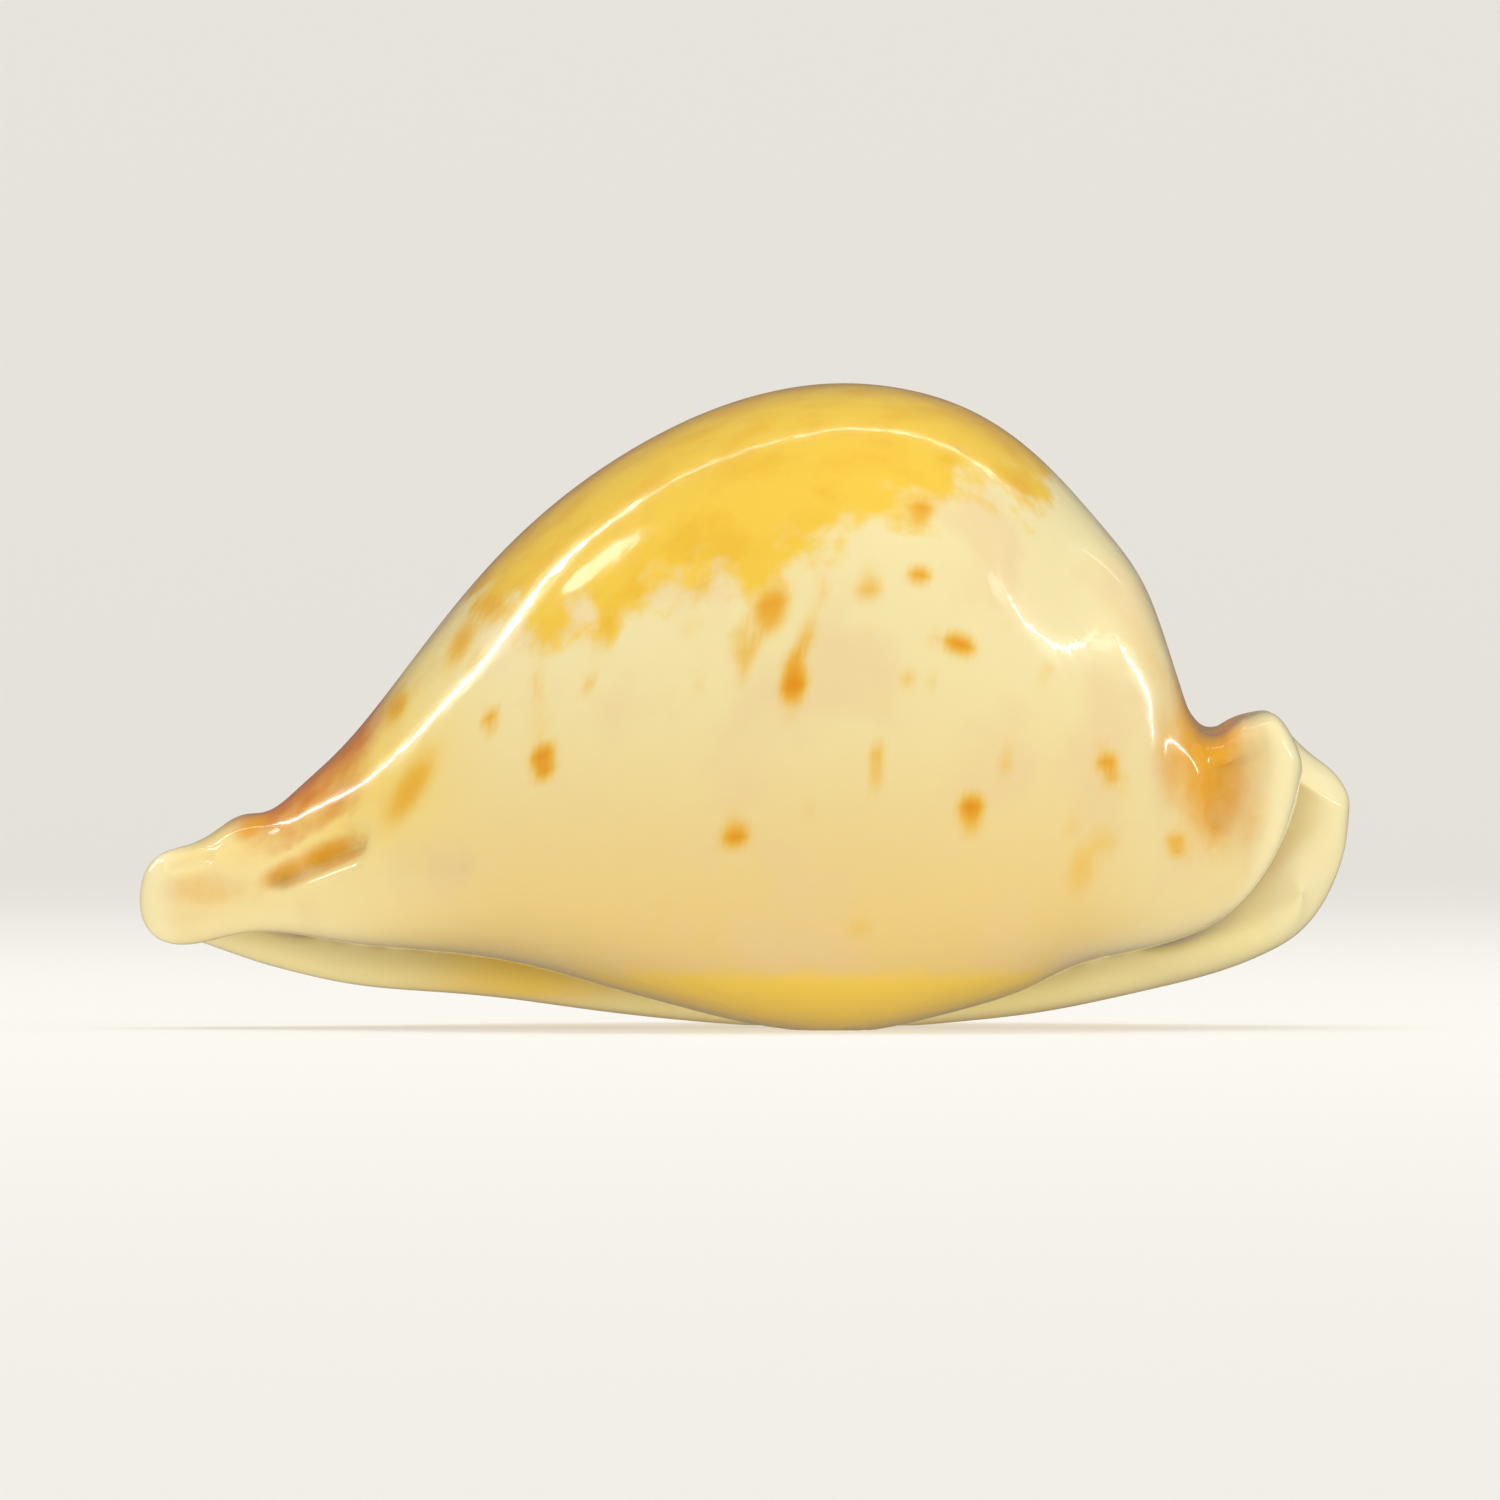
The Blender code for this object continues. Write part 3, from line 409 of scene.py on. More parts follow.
# The studio, in metres
FLOOR_RADIUS = 2.0
COVE_RADIUS = 0.6
WALL_HEIGHT = 0.9
FLOOR_RINGS = (0.0, 0.25, 0.5, 1.0)
FLOOR_SIDES = 96
COVE_STEPS = 12

# The arch of lights: its radius and the height of its centre in metres, how much longer than its stretch each
# light is, the arch's width in metres, and its power in watts for each metre of its length
ARCH_RADIUS = 0.6
ARCH_HEIGHT = 0.02
ARCH_OVERLAP = 1.02
ARCH_WIDTH = 0.013
ARCH_POWER = 2.0

# The arch's course: (angle from the top in degrees, how far behind the shell in metres, share of the power)
ARCH_COURSE = [
    (-68, 0.28, 0.4), (-60, 0.285, 1.0), (-56.5, 0.26, 1.0), (-51, 0.27, 1.0), (-45, 0.34, 0.9),
    (-40, 0.38, 0.5), (-33, 0.39, 0.16), (-21, 0.365, 0.14), (-8, 0.355, 0.14), (4, 0.365, 0.14),
    (14, 0.39, 0.14), (24, 0.40, 0.14), (34, 0.425, 0.14), (41, 0.455, 0.1), (45.5, 0.48, 0.02),
    (48, 0.40, 0.005), (48, 0.25, 0.005), (49, 0.11, 0.01), (53, 0.05, 0.03), (58, 0.035, 0.2),
    (62, 0.04, 0.8), (66, 0.05, 1.0), (70, 0.07, 1.0), (75, 0.105, 1.0), (80, 0.15, 1.0), (85, 0.18, 0.6),
]


def spline_through(points):
    """A smooth curve of value over x through given points: a natural cubic spline."""
    x, y = np.array(points, float).T
    step = np.diff(x)
    count = len(x)
    system = np.eye(count)
    right = np.zeros(count)
    for i in range(1, count - 1):
        system[i, i - 1:i + 2] = step[i - 1], 2 * (step[i - 1] + step[i]), step[i]
        right[i] = 6 * ((y[i + 1] - y[i]) / step[i] - (y[i] - y[i - 1]) / step[i - 1])
    bend = np.linalg.solve(system, right)

    def at(place):
        place = np.clip(place, x[0], x[-1])
        i = np.clip(np.searchsorted(x, place) - 1, 0, count - 2)
        a = (x[i + 1] - place) / step[i]
        b = 1 - a
        straight = a * y[i] + b * y[i + 1]
        return straight + ((a ** 3 - a) * bend[i] + (b ** 3 - b) * bend[i + 1]) * step[i] ** 2 / 6

    return at


def smooth_step(value, low, high):
    t = np.clip((value - low) / (high - low), 0, 1)
    return t * t * (3 - 2 * t)


def clamp_step(points, place):
    """A value that eases between given points and never overshoots them."""
    x, y = np.array(points, float).T
    total = np.full_like(place, y[0])
    for i in range(len(x) - 1):
        total += (y[i + 1] - y[i]) * smooth_step(place, x[i], x[i + 1])
    return total


def between(pair, t):
    return pair[0] + (pair[1] - pair[0]) * t


def quarter(t, side, pole, squareness):
    """A quarter of a superellipse: t = 0 at its side point, 1 at its pole. Points are (y, z) pairs."""
    angle = t * math.pi / 2
    across = np.cos(angle) ** (2 / squareness)
    up = np.sin(angle) ** (2 / squareness)
    return pole[0] + (side[0] - pole[0]) * across, side[1] + (pole[1] - side[1]) * up


def straight(t, start, end):
    return between((start[0], end[0]), t), between((start[1], end[1]), t)


class Half:
    """One half of the cross-sections, from the lip's tip over the side to the roof's middle line."""

    def __init__(self, side, width, widest, base, bottom, cavity, front_rim, rear_rim, wall, teeth):
        self.side = side
        self.width = spline_through(width)
        self.widest = spline_through(widest)
        self.base = spline_through(base)
        self.bottom = spline_through(bottom)
        self.cavity = spline_through(cavity)
        self.front_rim = spline_through(front_rim)
        self.rear_rim = spline_through(rear_rim)
        self.wall_rise, self.wall_lean, self.wall_top, self.wall_foot = wall
        self.tooth_reach, self.tooth_rise_middle, self.tooth_rise_ends = teeth

    def lip(self, x):
        """The lip's nose, the point nearest the other lip."""
        y = aperture(x) + self.side * half_gap(x)
        return y, self.base(x) + lip_height(x)

    def rim_x(self, along):
        """x of each of the half's points at one station; along is 0 at the front rim, 1 at the rear rim."""
        place = np.arange(HALF) + 0.5
        front = self.front_rim(place)
        return front + (self.rear_rim(place) - front) * along

    def legs(self, x):
        """x and the place within its leg, split into the half's four legs."""
        counts = (FACE, UNDERSIDE, LOWER, UPPER)
        starts = np.cumsum((0,) + counts[:-1])
        return [(x[s:s + n], (np.arange(n) + 0.5) / n) for s, n in zip(starts, counts)]

    def outer(self, x):
        """The outer skin's (y, z) for the half's points."""
        (xa, ta), (xb, tb), (xc, tc), (xd, td) = self.legs(x)
        chamber_face = self.wall_face(xa, ta)
        chamber_under = quarter(tb, self.lip(xb), self.low_point(xb), squareness_lower(xb))
        canal_t = (np.arange(FACE + UNDERSIDE) + 0.5) / (FACE + UNDERSIDE)
        x_lip = x[:FACE + UNDERSIDE]
        canal = quarter(canal_t, self.lip(x_lip), self.low_point(x_lip), CANAL_SQUARENESS)
        chamber = joined(chamber_face, chamber_under)
        lower = quarter(1 - tc, self.side_point(xc), self.low_point(xc), squareness_lower(xc))
        upper = quarter(td, self.side_point(xd), (crest_side(xd), crest(xd)), squareness_upper(xd))
        return joined(mixed(canal, chamber, in_chamber(x_lip)), lower, upper)

    def inner(self, x):
        """The cavity skin's (y, z), each point the partner of the same point of the outer skin."""
        (xa, ta), (xb, tb), (xc, tc), (xd, td) = self.legs(x)
        foot = self.lip(xb)[0] + self.side * (self.wall_lean + self.wall_foot)
        floor = between((foot, self.further_out(foot, self.low_point(xb)[0])), tb), self.floor(xb)
        corner = self.further_out(self.lip(xc)[0] + self.side * self.wall_foot, self.low_point(xc)[0])
        lower = quarter(1 - tc, self.cavity_side(xc), (corner, self.floor(xc)), CAVITY_SQUARENESS)
        chamber = joined(self.wall_back(xa, ta), floor, lower)
        count = FACE + UNDERSIDE + LOWER
        x_wall = x[:count]
        canal = straight((np.arange(count) + 0.5) / count, self.lip(x_wall), self.cavity_side(x_wall))
        upper = quarter(td, self.cavity_side(xd), (crest_side(xd), cavity_top(xd)), squareness_upper(xd))
        return joined(mixed(canal, chamber, in_chamber(x_wall)), upper)

    def wall_face(self, x, t):
        """The wall's face towards the aperture, from its top down to the lip's nose."""
        nose_y, nose_z = self.lip(x)
        top_z = self.floor(x) + self.wall_rise
        return nose_y + self.side * self.wall_lean * (1 - t) ** WALL_CURVE, between((top_z, nose_z), t)

    def wall_back(self, x, t):
        """The back of the same wall, from its top down to the chamber's floor."""
        thickness = between((self.wall_top, self.wall_foot), t)
        foot_z = self.floor(x) + WALL_BACK_END
        top_z = self.floor(x) + self.wall_rise
        return self.lip(x)[0] + self.side * (self.wall_lean + thickness), between((top_z, foot_z), t)

    def further_out(self, first, second):
        """Of two y values, the one further out on this half's side."""
        return self.side * np.maximum(self.side * first, self.side * second)

    def floor(self, x):
        return self.base(x) + FLOOR_THICKNESS

    def low_point(self, x):
        return self.side * self.bottom(x), self.base(x)

    def side_point(self, x):
        return self.side * self.width(x), self.widest(x)

    def cavity_side(self, x):
        return self.side * self.cavity(x), cavity_middle(x)


def joined(*parts):
    return tuple(np.concatenate(values) for values in zip(*parts))


def mixed(first, second, share):
    return tuple(a + (b - a) * share for a, b in zip(first, second))


crest = spline_through(CREST)
crest_side = spline_through(CREST_SIDE)
aperture = spline_through(APERTURE)
half_gap = spline_through(HALF_GAP)
lip_height = spline_through(LIP_HEIGHT)
cavity_top = spline_through(CAVITY_TOP)
cavity_middle = spline_through(CAVITY_MIDDLE)
squareness_upper = spline_through(SQUARENESS_UPPER)
squareness_lower = spline_through(SQUARENESS_LOWER)


def in_chamber(x):
    return clamp_step(CHAMBER, x)


INNER_LIP = Half(-1, WIDTH_INNER_LIP, WIDEST_INNER_LIP, BASE_INNER_LIP, BOTTOM_INNER_LIP, CAVITY_INNER_LIP,
                 FRONT_RIM_INNER_LIP, REAR_RIM_INNER_LIP, INNER_WALL, (TOOTH_REACH_INNER, 0.0, 0.0))
OUTER_LIP = Half(1, WIDTH_OUTER_LIP, WIDEST_OUTER_LIP, BASE_OUTER_LIP, BOTTOM_OUTER_LIP, CAVITY_OUTER_LIP,
                 FRONT_RIM_OUTER_LIP, REAR_RIM_OUTER_LIP, OUTER_WALL,
                 (TOOTH_REACH_OUTER, TOOTH_RISE_MIDDLE, TOOTH_RISE_ENDS))


def stations(span):
    """Places of the rings along the shell, from 0 at the front rim to span at the rear rim."""
    start, end = RIM_STEPS[-1], span - RIM_STEPS[-1]
    places = [start]
    while places[-1] < end:
        busy = sum(math.exp(-((places[-1] - span / 2 - x) / BUSY_REACH) ** 2) for x in BUSY_PLACES)
        places.append(places[-1] + STEP - STEP_SAVED * busy)
    stretch = (end - start) / (places[-1] - start)
    inside = [start + (place - start) * stretch for place in places[1:-1]]
    return RIM_STEPS + inside + [span - step for step in reversed(RIM_STEPS)]


def ring(place, span):
    """One closed ring of points: the outer skin from lip to lip, then the cavity skin back again."""
    rounding = 0.0
    to_rim = min(place, span - place)
    if to_rim < RIM_RADIUS:
        rounding = RIM_CLOSING * (1 - math.sqrt(1 - (1 - to_rim / RIM_RADIUS) ** 2))
    skins = []
    for half in (INNER_LIP, OUTER_LIP):
        x = half.rim_x(place / span)
        outer = np.column_stack((x,) + half.outer(x))
        inner = np.column_stack((x,) + half.inner(x))
        middle = (outer + inner) / 2
        skins.append((outer + (middle - outer) * rounding, inner + (middle - inner) * rounding))
    (near_out, near_in), (far_out, far_in) = skins
    return np.vstack((near_out, far_out[::-1], far_in, near_in[::-1]))


def cage():
    """Vertices and faces of the shell's control cage."""
    span = REAR_RIM_INNER_LIP[-1][1] - FRONT_RIM_INNER_LIP[-1][1]
    rings = [ring(place, span) for place in stations(span)]
    count = len(rings[0])
    faces = []
    for r in range(len(rings) - 1):
        for k in range(count):
            after = (k + 1) % count
            faces.append((r * count + k, (r + 1) * count + k, (r + 1) * count + after, r * count + after))
    last = (len(rings) - 1) * count
    for k in range(count // 2 - 1):
        partner = count - 1 - k
        faces.append((k, k + 1, partner - 1, partner))
        faces.append((last + partner, last + partner - 1, last + k + 1, last + k))
    return np.vstack(rings), faces


def shell_mesh(name, vertices, faces):
    mesh = bpy.data.meshes.new(name)
    mesh.from_pydata([tuple(v) for v in vertices], [], faces)
    mesh.validate()
    return mesh


def linear(colour):
    """The colour as the shader wants it."""
    steps = [c / 255 for c in colour]
    return tuple(c / 12.92 if c < 0.04045 else ((c + 0.055) / 1.055) ** 2.4 for c in steps) + (1.0,)


def marks_field(points, marks):
    """Strength of the marks at each point, drawn on the shell from its side like soft ellipses."""
    total = np.zeros(len(points))
    for x, z, length, width, turn, strength in marks:
        across, up = points[:, 0] - x, points[:, 2] - z
        cos, sin = math.cos(math.radians(turn)), math.sin(math.radians(turn))
        reach = ((across * cos + up * sin) / length) ** 2 + ((up * cos - across * sin) / width) ** 2
        total = np.maximum(total, strength * np.exp(-reach ** MARK_STEEPNESS))
    return total


def store(mesh, name, values):
    field = mesh.attributes.new(name, "FLOAT", "POINT")
    field.data.foreach_set("value", values.astype(np.float32))


def colour_fields(mesh, points, normals):
    """The fields that the shell's material turns into colour, by name."""
    x, y, z = points.T
    near = smooth_step(-normals[:, 1], *FACING_SIDE)
    far = smooth_step(normals[:, 1], *FACING_SIDE)
    up = smooth_step(normals[:, 2], *FACING_UP_OR_DOWN)
    side = smooth_step(y, *SIDES_MEET)
    edge_near = np.interp(x, *np.array(YELLOW_EDGE_NEAR).T)
    edge_far = np.interp(x, *np.array(YELLOW_EDGE_FAR).T)
    edge = between((edge_near, edge_far), side)
    on_back = smooth_step(x, *YELLOW_BEGINS) * (1 - smooth_step(x, *YELLOW_ENDS))
    marks = np.maximum(marks_field(points, MARKS_NEAR) * near, marks_field(points, MARKS_FAR) * far)
    # The crest's orange: partly the shell's own, partly painted shade where the crest faces up and mirrors a
    # dark surround
    stain_and_shade_x, stain_and_shade_strength, stain_and_shade_width = np.array(DORSAL_STAIN_AND_SHADE).T
    stain = np.interp(x, stain_and_shade_x, stain_and_shade_strength) * np.exp(-(y / np.interp(x, stain_and_shade_x, stain_and_shade_width)) ** 2)
    stain *= up * smooth_step(z, *STAIN_AND_SHADE_FOOT)
    inside = field_of(mesh, "inside")
    from_rim = field_of(mesh, "from_rim")
    lips = np.maximum(field_of(mesh, "reach_inner"), field_of(mesh, "reach_outer"))
    ends = 1 - smooth_step(from_rim, *RIM_FADE)
    far_lip_face = smooth_step(y, *FAR_LIP_STARTS) * smooth_step(-normals[:, 1], *FACING_NEAR)
    streak_x, streak_length, streak_strength = LIP_STREAK
    streak = streak_strength * np.exp(-((x - streak_x) / streak_length) ** 2)
    streak *= smooth_step(z, *STREAK_FOOT) * far_lip_face
    # Ivory along the inner lip's low edge at both ends: partly its own pale edge, partly a painted highlight
    low_edge_highlight = near * (1 - smooth_step(z - INNER_LIP.base(x), *LOW_EDGE_HIGHLIGHT_HEIGHT))
    low_edge_highlight *= smooth_step(np.abs(x - LOW_EDGE_HIGHLIGHT_MIDDLE), *LOW_EDGE_HIGHLIGHT_ENDS)
    low_face = (1 - smooth_step(z, *BASE_HEIGHT)) * smooth_step(-normals[:, 2], *FACING_UP_OR_DOWN)
    peach_share = 1 - REAR_PEACH_LOSS * smooth_step(x, *PEACH_LEAVES)
    return {
        "back": np.clip((z - edge) / YELLOW_FADE, -1, 1) * on_back - (1 - on_back),
        "marks": marks,
        # Deep orange, partly the shell's own and partly painted shade in the pits and the beak's recess
        "deep": marks_field(points, ORANGE_AND_HOLLOW_SHADE) * (1 - smooth_step(y, *ORANGE_AND_HOLLOW_SHADE_END)),
        "stain": stain,
        "rearward": smooth_step(x, *STAIN_AND_SHADE_TURNS_AMBER),
        "low": (1 - smooth_step(z, *PEACH_HEIGHT)) * peach_share,
        "front": 1 - smooth_step(x, *FRONT_COLOUR),
        # The apricot base and the outer lip's cream face are painted lighter than the shell: painted light
        # against their shade
        "base": np.maximum(low_face * (1 - far_lip_face), streak),
        "far_lip": far_lip_face * (1 - smooth_step(z, *PALE_LIP_HEIGHT)) * (1 - streak),
        "rim": np.clip(ends + LIP_IVORY * lips + LOW_EDGE_HIGHLIGHT * low_edge_highlight, 0, 1) * RIM_IVORY_AND_HIGHLIGHT,
        "chamber": smooth_step(inside, *SKIN_TURNS) * smooth_step(from_rim, *CHAMBER_FADE),
    }


def evaluated_copy(item, name):
    """The mesh of an object with its modifiers applied."""
    graph = bpy.context.evaluated_depsgraph_get()
    mesh = bpy.data.meshes.new_from_object(item.evaluated_get(graph))
    mesh.name = name
    return mesh


def smoothed(mesh):
    item = bpy.data.objects.new("shell_cage", mesh)
    bpy.context.collection.objects.link(item)
    modifier = item.modifiers.new("smooth", "SUBSURF")
    modifier.levels = modifier.render_levels = SMOOTHING_LEVELS
    result = evaluated_copy(item, "shell_smooth")
    bpy.data.objects.remove(item)
    return result


def points_of(mesh):
    flat = np.empty(3 * len(mesh.vertices), np.float32)
    mesh.vertices.foreach_get("co", flat)
    return flat.reshape(-1, 3).astype(float)


def normals_of(mesh):
    flat = np.empty(3 * len(mesh.vertices), np.float32)
    mesh.vertex_normals.foreach_get("vector", flat)
    return flat.reshape(-1, 3).astype(float)


def field_of(mesh, name):
    values = np.empty(len(mesh.vertices), np.float32)
    mesh.attributes[name].data.foreach_get("value", values)
    return values.astype(float)


def set_points(mesh, points):
    mesh.vertices.foreach_set("co", points.ravel())
    mesh.update()


def tooth_reach(points, normals, half):
    """How far the teeth stand out at each point, from 0 to 1: they cross the lip's nose and fade from it."""
    x = points[:, 0]
    nose_y, nose_z = half.lip(x)
    to_end = smooth_step(np.abs(x - MIDDLE_TOOTH), *TOOTH_ENDS)
    nose_z = nose_z + between((half.tooth_rise_middle, half.tooth_rise_ends), to_end)
    from_nose = np.hypot(points[:, 1] - nose_y, points[:, 2] - nose_z)
    reach = half.tooth_reach * (1 - REACH_LOSS * to_end)
    near_nose = 1 - smooth_step(from_nose, FULL_REACH * reach, reach)
    facing = smooth_step(-half.side * normals[:, 1], *TOOTH_FACING)
    along = smooth_step(x, *FIRST_TEETH) * (1 - smooth_step(x, *LAST_TEETH))
    return near_nose * facing * along


def hollow(points, normals, start, end, depth, left, right):
    """Inward push of one long hollow on the inner lip's side."""
    start, end = np.array(start), np.array(end)
    run = end - start
    spot = points[:, (0, 2)] - start
    t = np.clip(spot @ run / (run @ run), 0, 1)
    distance = np.linalg.norm(spot - t[:, None] * run, axis=1)
    on_left = run[0] * spot[:, 1] > run[1] * spot[:, 0]
    width = np.where(on_left, between(left, t), between(right, t))
    facing = smooth_step(normals @ HOLLOWS_FACE, *HOLLOWS_FACING)
    facing *= 1 - smooth_step(points[:, 1], *HOLLOWS_END)
    return between(depth, t) * np.exp(-(distance / width) ** HOLLOW_STEEPNESS) * facing


class Tree:
    """Short ways to place and join nodes in one node tree."""

    def __init__(self, tree):
        self.tree = tree

    def add(self, kind, inputs=(), **settings):
        node = self.tree.nodes.new(kind)
        for name, value in settings.items():
            setattr(node, name, value)
        for key, value in dict(inputs).items():
            self.feed(node.inputs[key], value)
        return node

    def feed(self, socket, value):
        if isinstance(value, bpy.types.NodeSocket):
            self.tree.links.new(value, socket)
        else:
            socket.default_value = value

    def math(self, operation, *values):
        return self.add("ShaderNodeMath", enumerate(values), operation=operation).outputs[0]

    def step(self, value, low, high, bottom=0.0, top=1.0):
        """A smooth step of the value, from bottom at low to top at high."""
        inputs = {"Value": value, "From Min": low, "From Max": high, "To Min": bottom, "To Max": top}
        return self.add("ShaderNodeMapRange", inputs, interpolation_type="SMOOTHSTEP").outputs["Result"]

    def field(self, name):
        return self.add("ShaderNodeAttribute", attribute_name=name).outputs["Fac"]

    def mix(self, first, second, share):
        node = self.add("ShaderNodeMix", data_type="RGBA")
        self.feed(node.inputs[0], share)
        self.feed(node.inputs[6], first)
        self.feed(node.inputs[7], second)
        return node.outputs[2]

    def noise(self, grain, detail):
        """Soft noise from 0 to 1 with blobs of about that many mm."""
        place = self.add("ShaderNodeTexCoord").outputs["Object"]
        scale = (1 / (grain * MM),) * 3
        spread = self.add("ShaderNodeMapping", {"Vector": place, "Scale": scale}).outputs[0]
        inputs = {"Vector": spread, "Scale": 1.0, "Detail": detail, "Roughness": 0.5}
        return self.add("ShaderNodeTexNoise", inputs).outputs["Fac"]


def teeth_tree():
    """A tree of geometry nodes that raises a row of teeth along x where the mesh's reach field allows it."""
    group = bpy.data.node_groups.new("row_of_teeth", "GeometryNodeTree")
    sockets = (("Geometry", "NodeSocketGeometry"), ("Reach Field", "NodeSocketString"),
               ("Pitch", "NodeSocketFloat"), ("Height", "NodeSocketFloat"),
               ("Material", "NodeSocketMaterial"))
    for name, kind in sockets:
        group.interface.new_socket(name, in_out="INPUT", socket_type=kind)
    group.interface.new_socket("Geometry", in_out="OUTPUT", socket_type="NodeSocketGeometry")
    tree = Tree(group)
    given = tree.add("NodeGroupInput").outputs
    place = tree.add("GeometryNodeInputPosition").outputs[0]
    x = tree.add("ShaderNodeSeparateXYZ", {0: place}).outputs["X"]
    turn = tree.math("DIVIDE", tree.math("MULTIPLY", x, math.tau), given["Pitch"])
    wave = tree.math("MULTIPLY_ADD", tree.math("COSINE", turn), 0.5, 0.5)
    ridge = tree.math("SUBTRACT", tree.math("POWER", wave, TOOTH_SHARPNESS), TOOTH_SINK)
    reach = tree.add("GeometryNodeInputNamedAttribute", {"Name": given["Reach Field"]}, data_type="FLOAT")
    push = tree.math("MULTIPLY", tree.math("MULTIPLY", ridge, reach.outputs["Attribute"]), given["Height"])
    normal = tree.add("GeometryNodeInputNormal").outputs[0]
    offset = tree.add("ShaderNodeVectorMath", {0: normal, "Scale": push}, operation="SCALE").outputs[0]
    moved = tree.add("GeometryNodeSetPosition", {"Geometry": given["Geometry"], "Offset": offset})
    real = tree.add("GeometryNodeRealizeInstances", {"Geometry": moved.outputs[0]})
    inputs = {"Geometry": real.outputs[0], "Material": given["Material"]}
    dressed = tree.add("GeometryNodeSetMaterial", inputs)
    tree.feed(tree.add("NodeGroupOutput").inputs[0], dressed.outputs[0])
    return group


def with_teeth(mesh, material):
    """The mesh with a row of teeth raised along each lip."""
    rows = (("reach_inner", TOOTH_PITCH_INNER, TOOTH_HEIGHT_INNER),
            ("reach_outer", TOOTH_PITCH_OUTER, TOOTH_HEIGHT_OUTER))
    group = teeth_tree()
    names = {item.name: item.identifier for item in group.interface.items_tree if item.in_out == "INPUT"}
    item = bpy.data.objects.new("shell_lips", mesh)
    bpy.context.collection.objects.link(item)
    for field, pitch, height in rows:
        modifier = item.modifiers.new(field, "NODES")
        modifier.node_group = group
        modifier[names["Reach Field"]] = field
        modifier[names["Pitch"]] = pitch
        modifier[names["Height"]] = height
        modifier[names["Material"]] = material
    result = evaluated_copy(item, "shell_toothed")
    bpy.data.objects.remove(item)
    return result


def sized(points):
    """The points brought to the solid's box, in mm, with none below the resting plane."""
    points = np.maximum(points, (-np.inf, -np.inf, 0))
    low, high = points.min(axis=0), points.max(axis=0)
    return SHELL_LOW / MM + (points - low) * (SHELL_HIGH - SHELL_LOW) / MM / (high - low)


def rim_distances():
    """How far each point of the cage is from the nearer rim, in mm along the shell."""
    span = REAR_RIM_INNER_LIP[-1][1] - FRONT_RIM_INNER_LIP[-1][1]
    return np.repeat([min(place, span - place) for place in stations(span)], 4 * HALF)


def make_shell(material):
    vertices, faces = cage()
    mesh = shell_mesh("shell_cage", vertices, faces)
    count = 4 * HALF
    skin = np.arange(len(vertices)) % count >= count // 2
    store(mesh, "inside", skin)
    store(mesh, "from_rim", rim_distances())
    mesh = smoothed(mesh)
    points, normals = points_of(mesh), normals_of(mesh)
    store(mesh, "reach_inner", tooth_reach(points, normals, INNER_LIP))
    store(mesh, "reach_outer", tooth_reach(points, normals, OUTER_LIP))
    push = sum(hollow(points, normals, *place) for place in HOLLOWS)
    set_points(mesh, points - normals * push[:, None])
    mesh = with_teeth(mesh, material)
    set_points(mesh, sized(points_of(mesh)))
    fields = colour_fields(mesh, points_of(mesh), normals_of(mesh))
    for name, values in fields.items():
        store(mesh, name, values)
    set_points(mesh, points_of(mesh) * MM)
    mesh.shade_smooth()
    shell = bpy.data.objects.new("cowry_shell", mesh)
    bpy.context.collection.objects.link(shell)
    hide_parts("shell")
    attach(shell, "root")


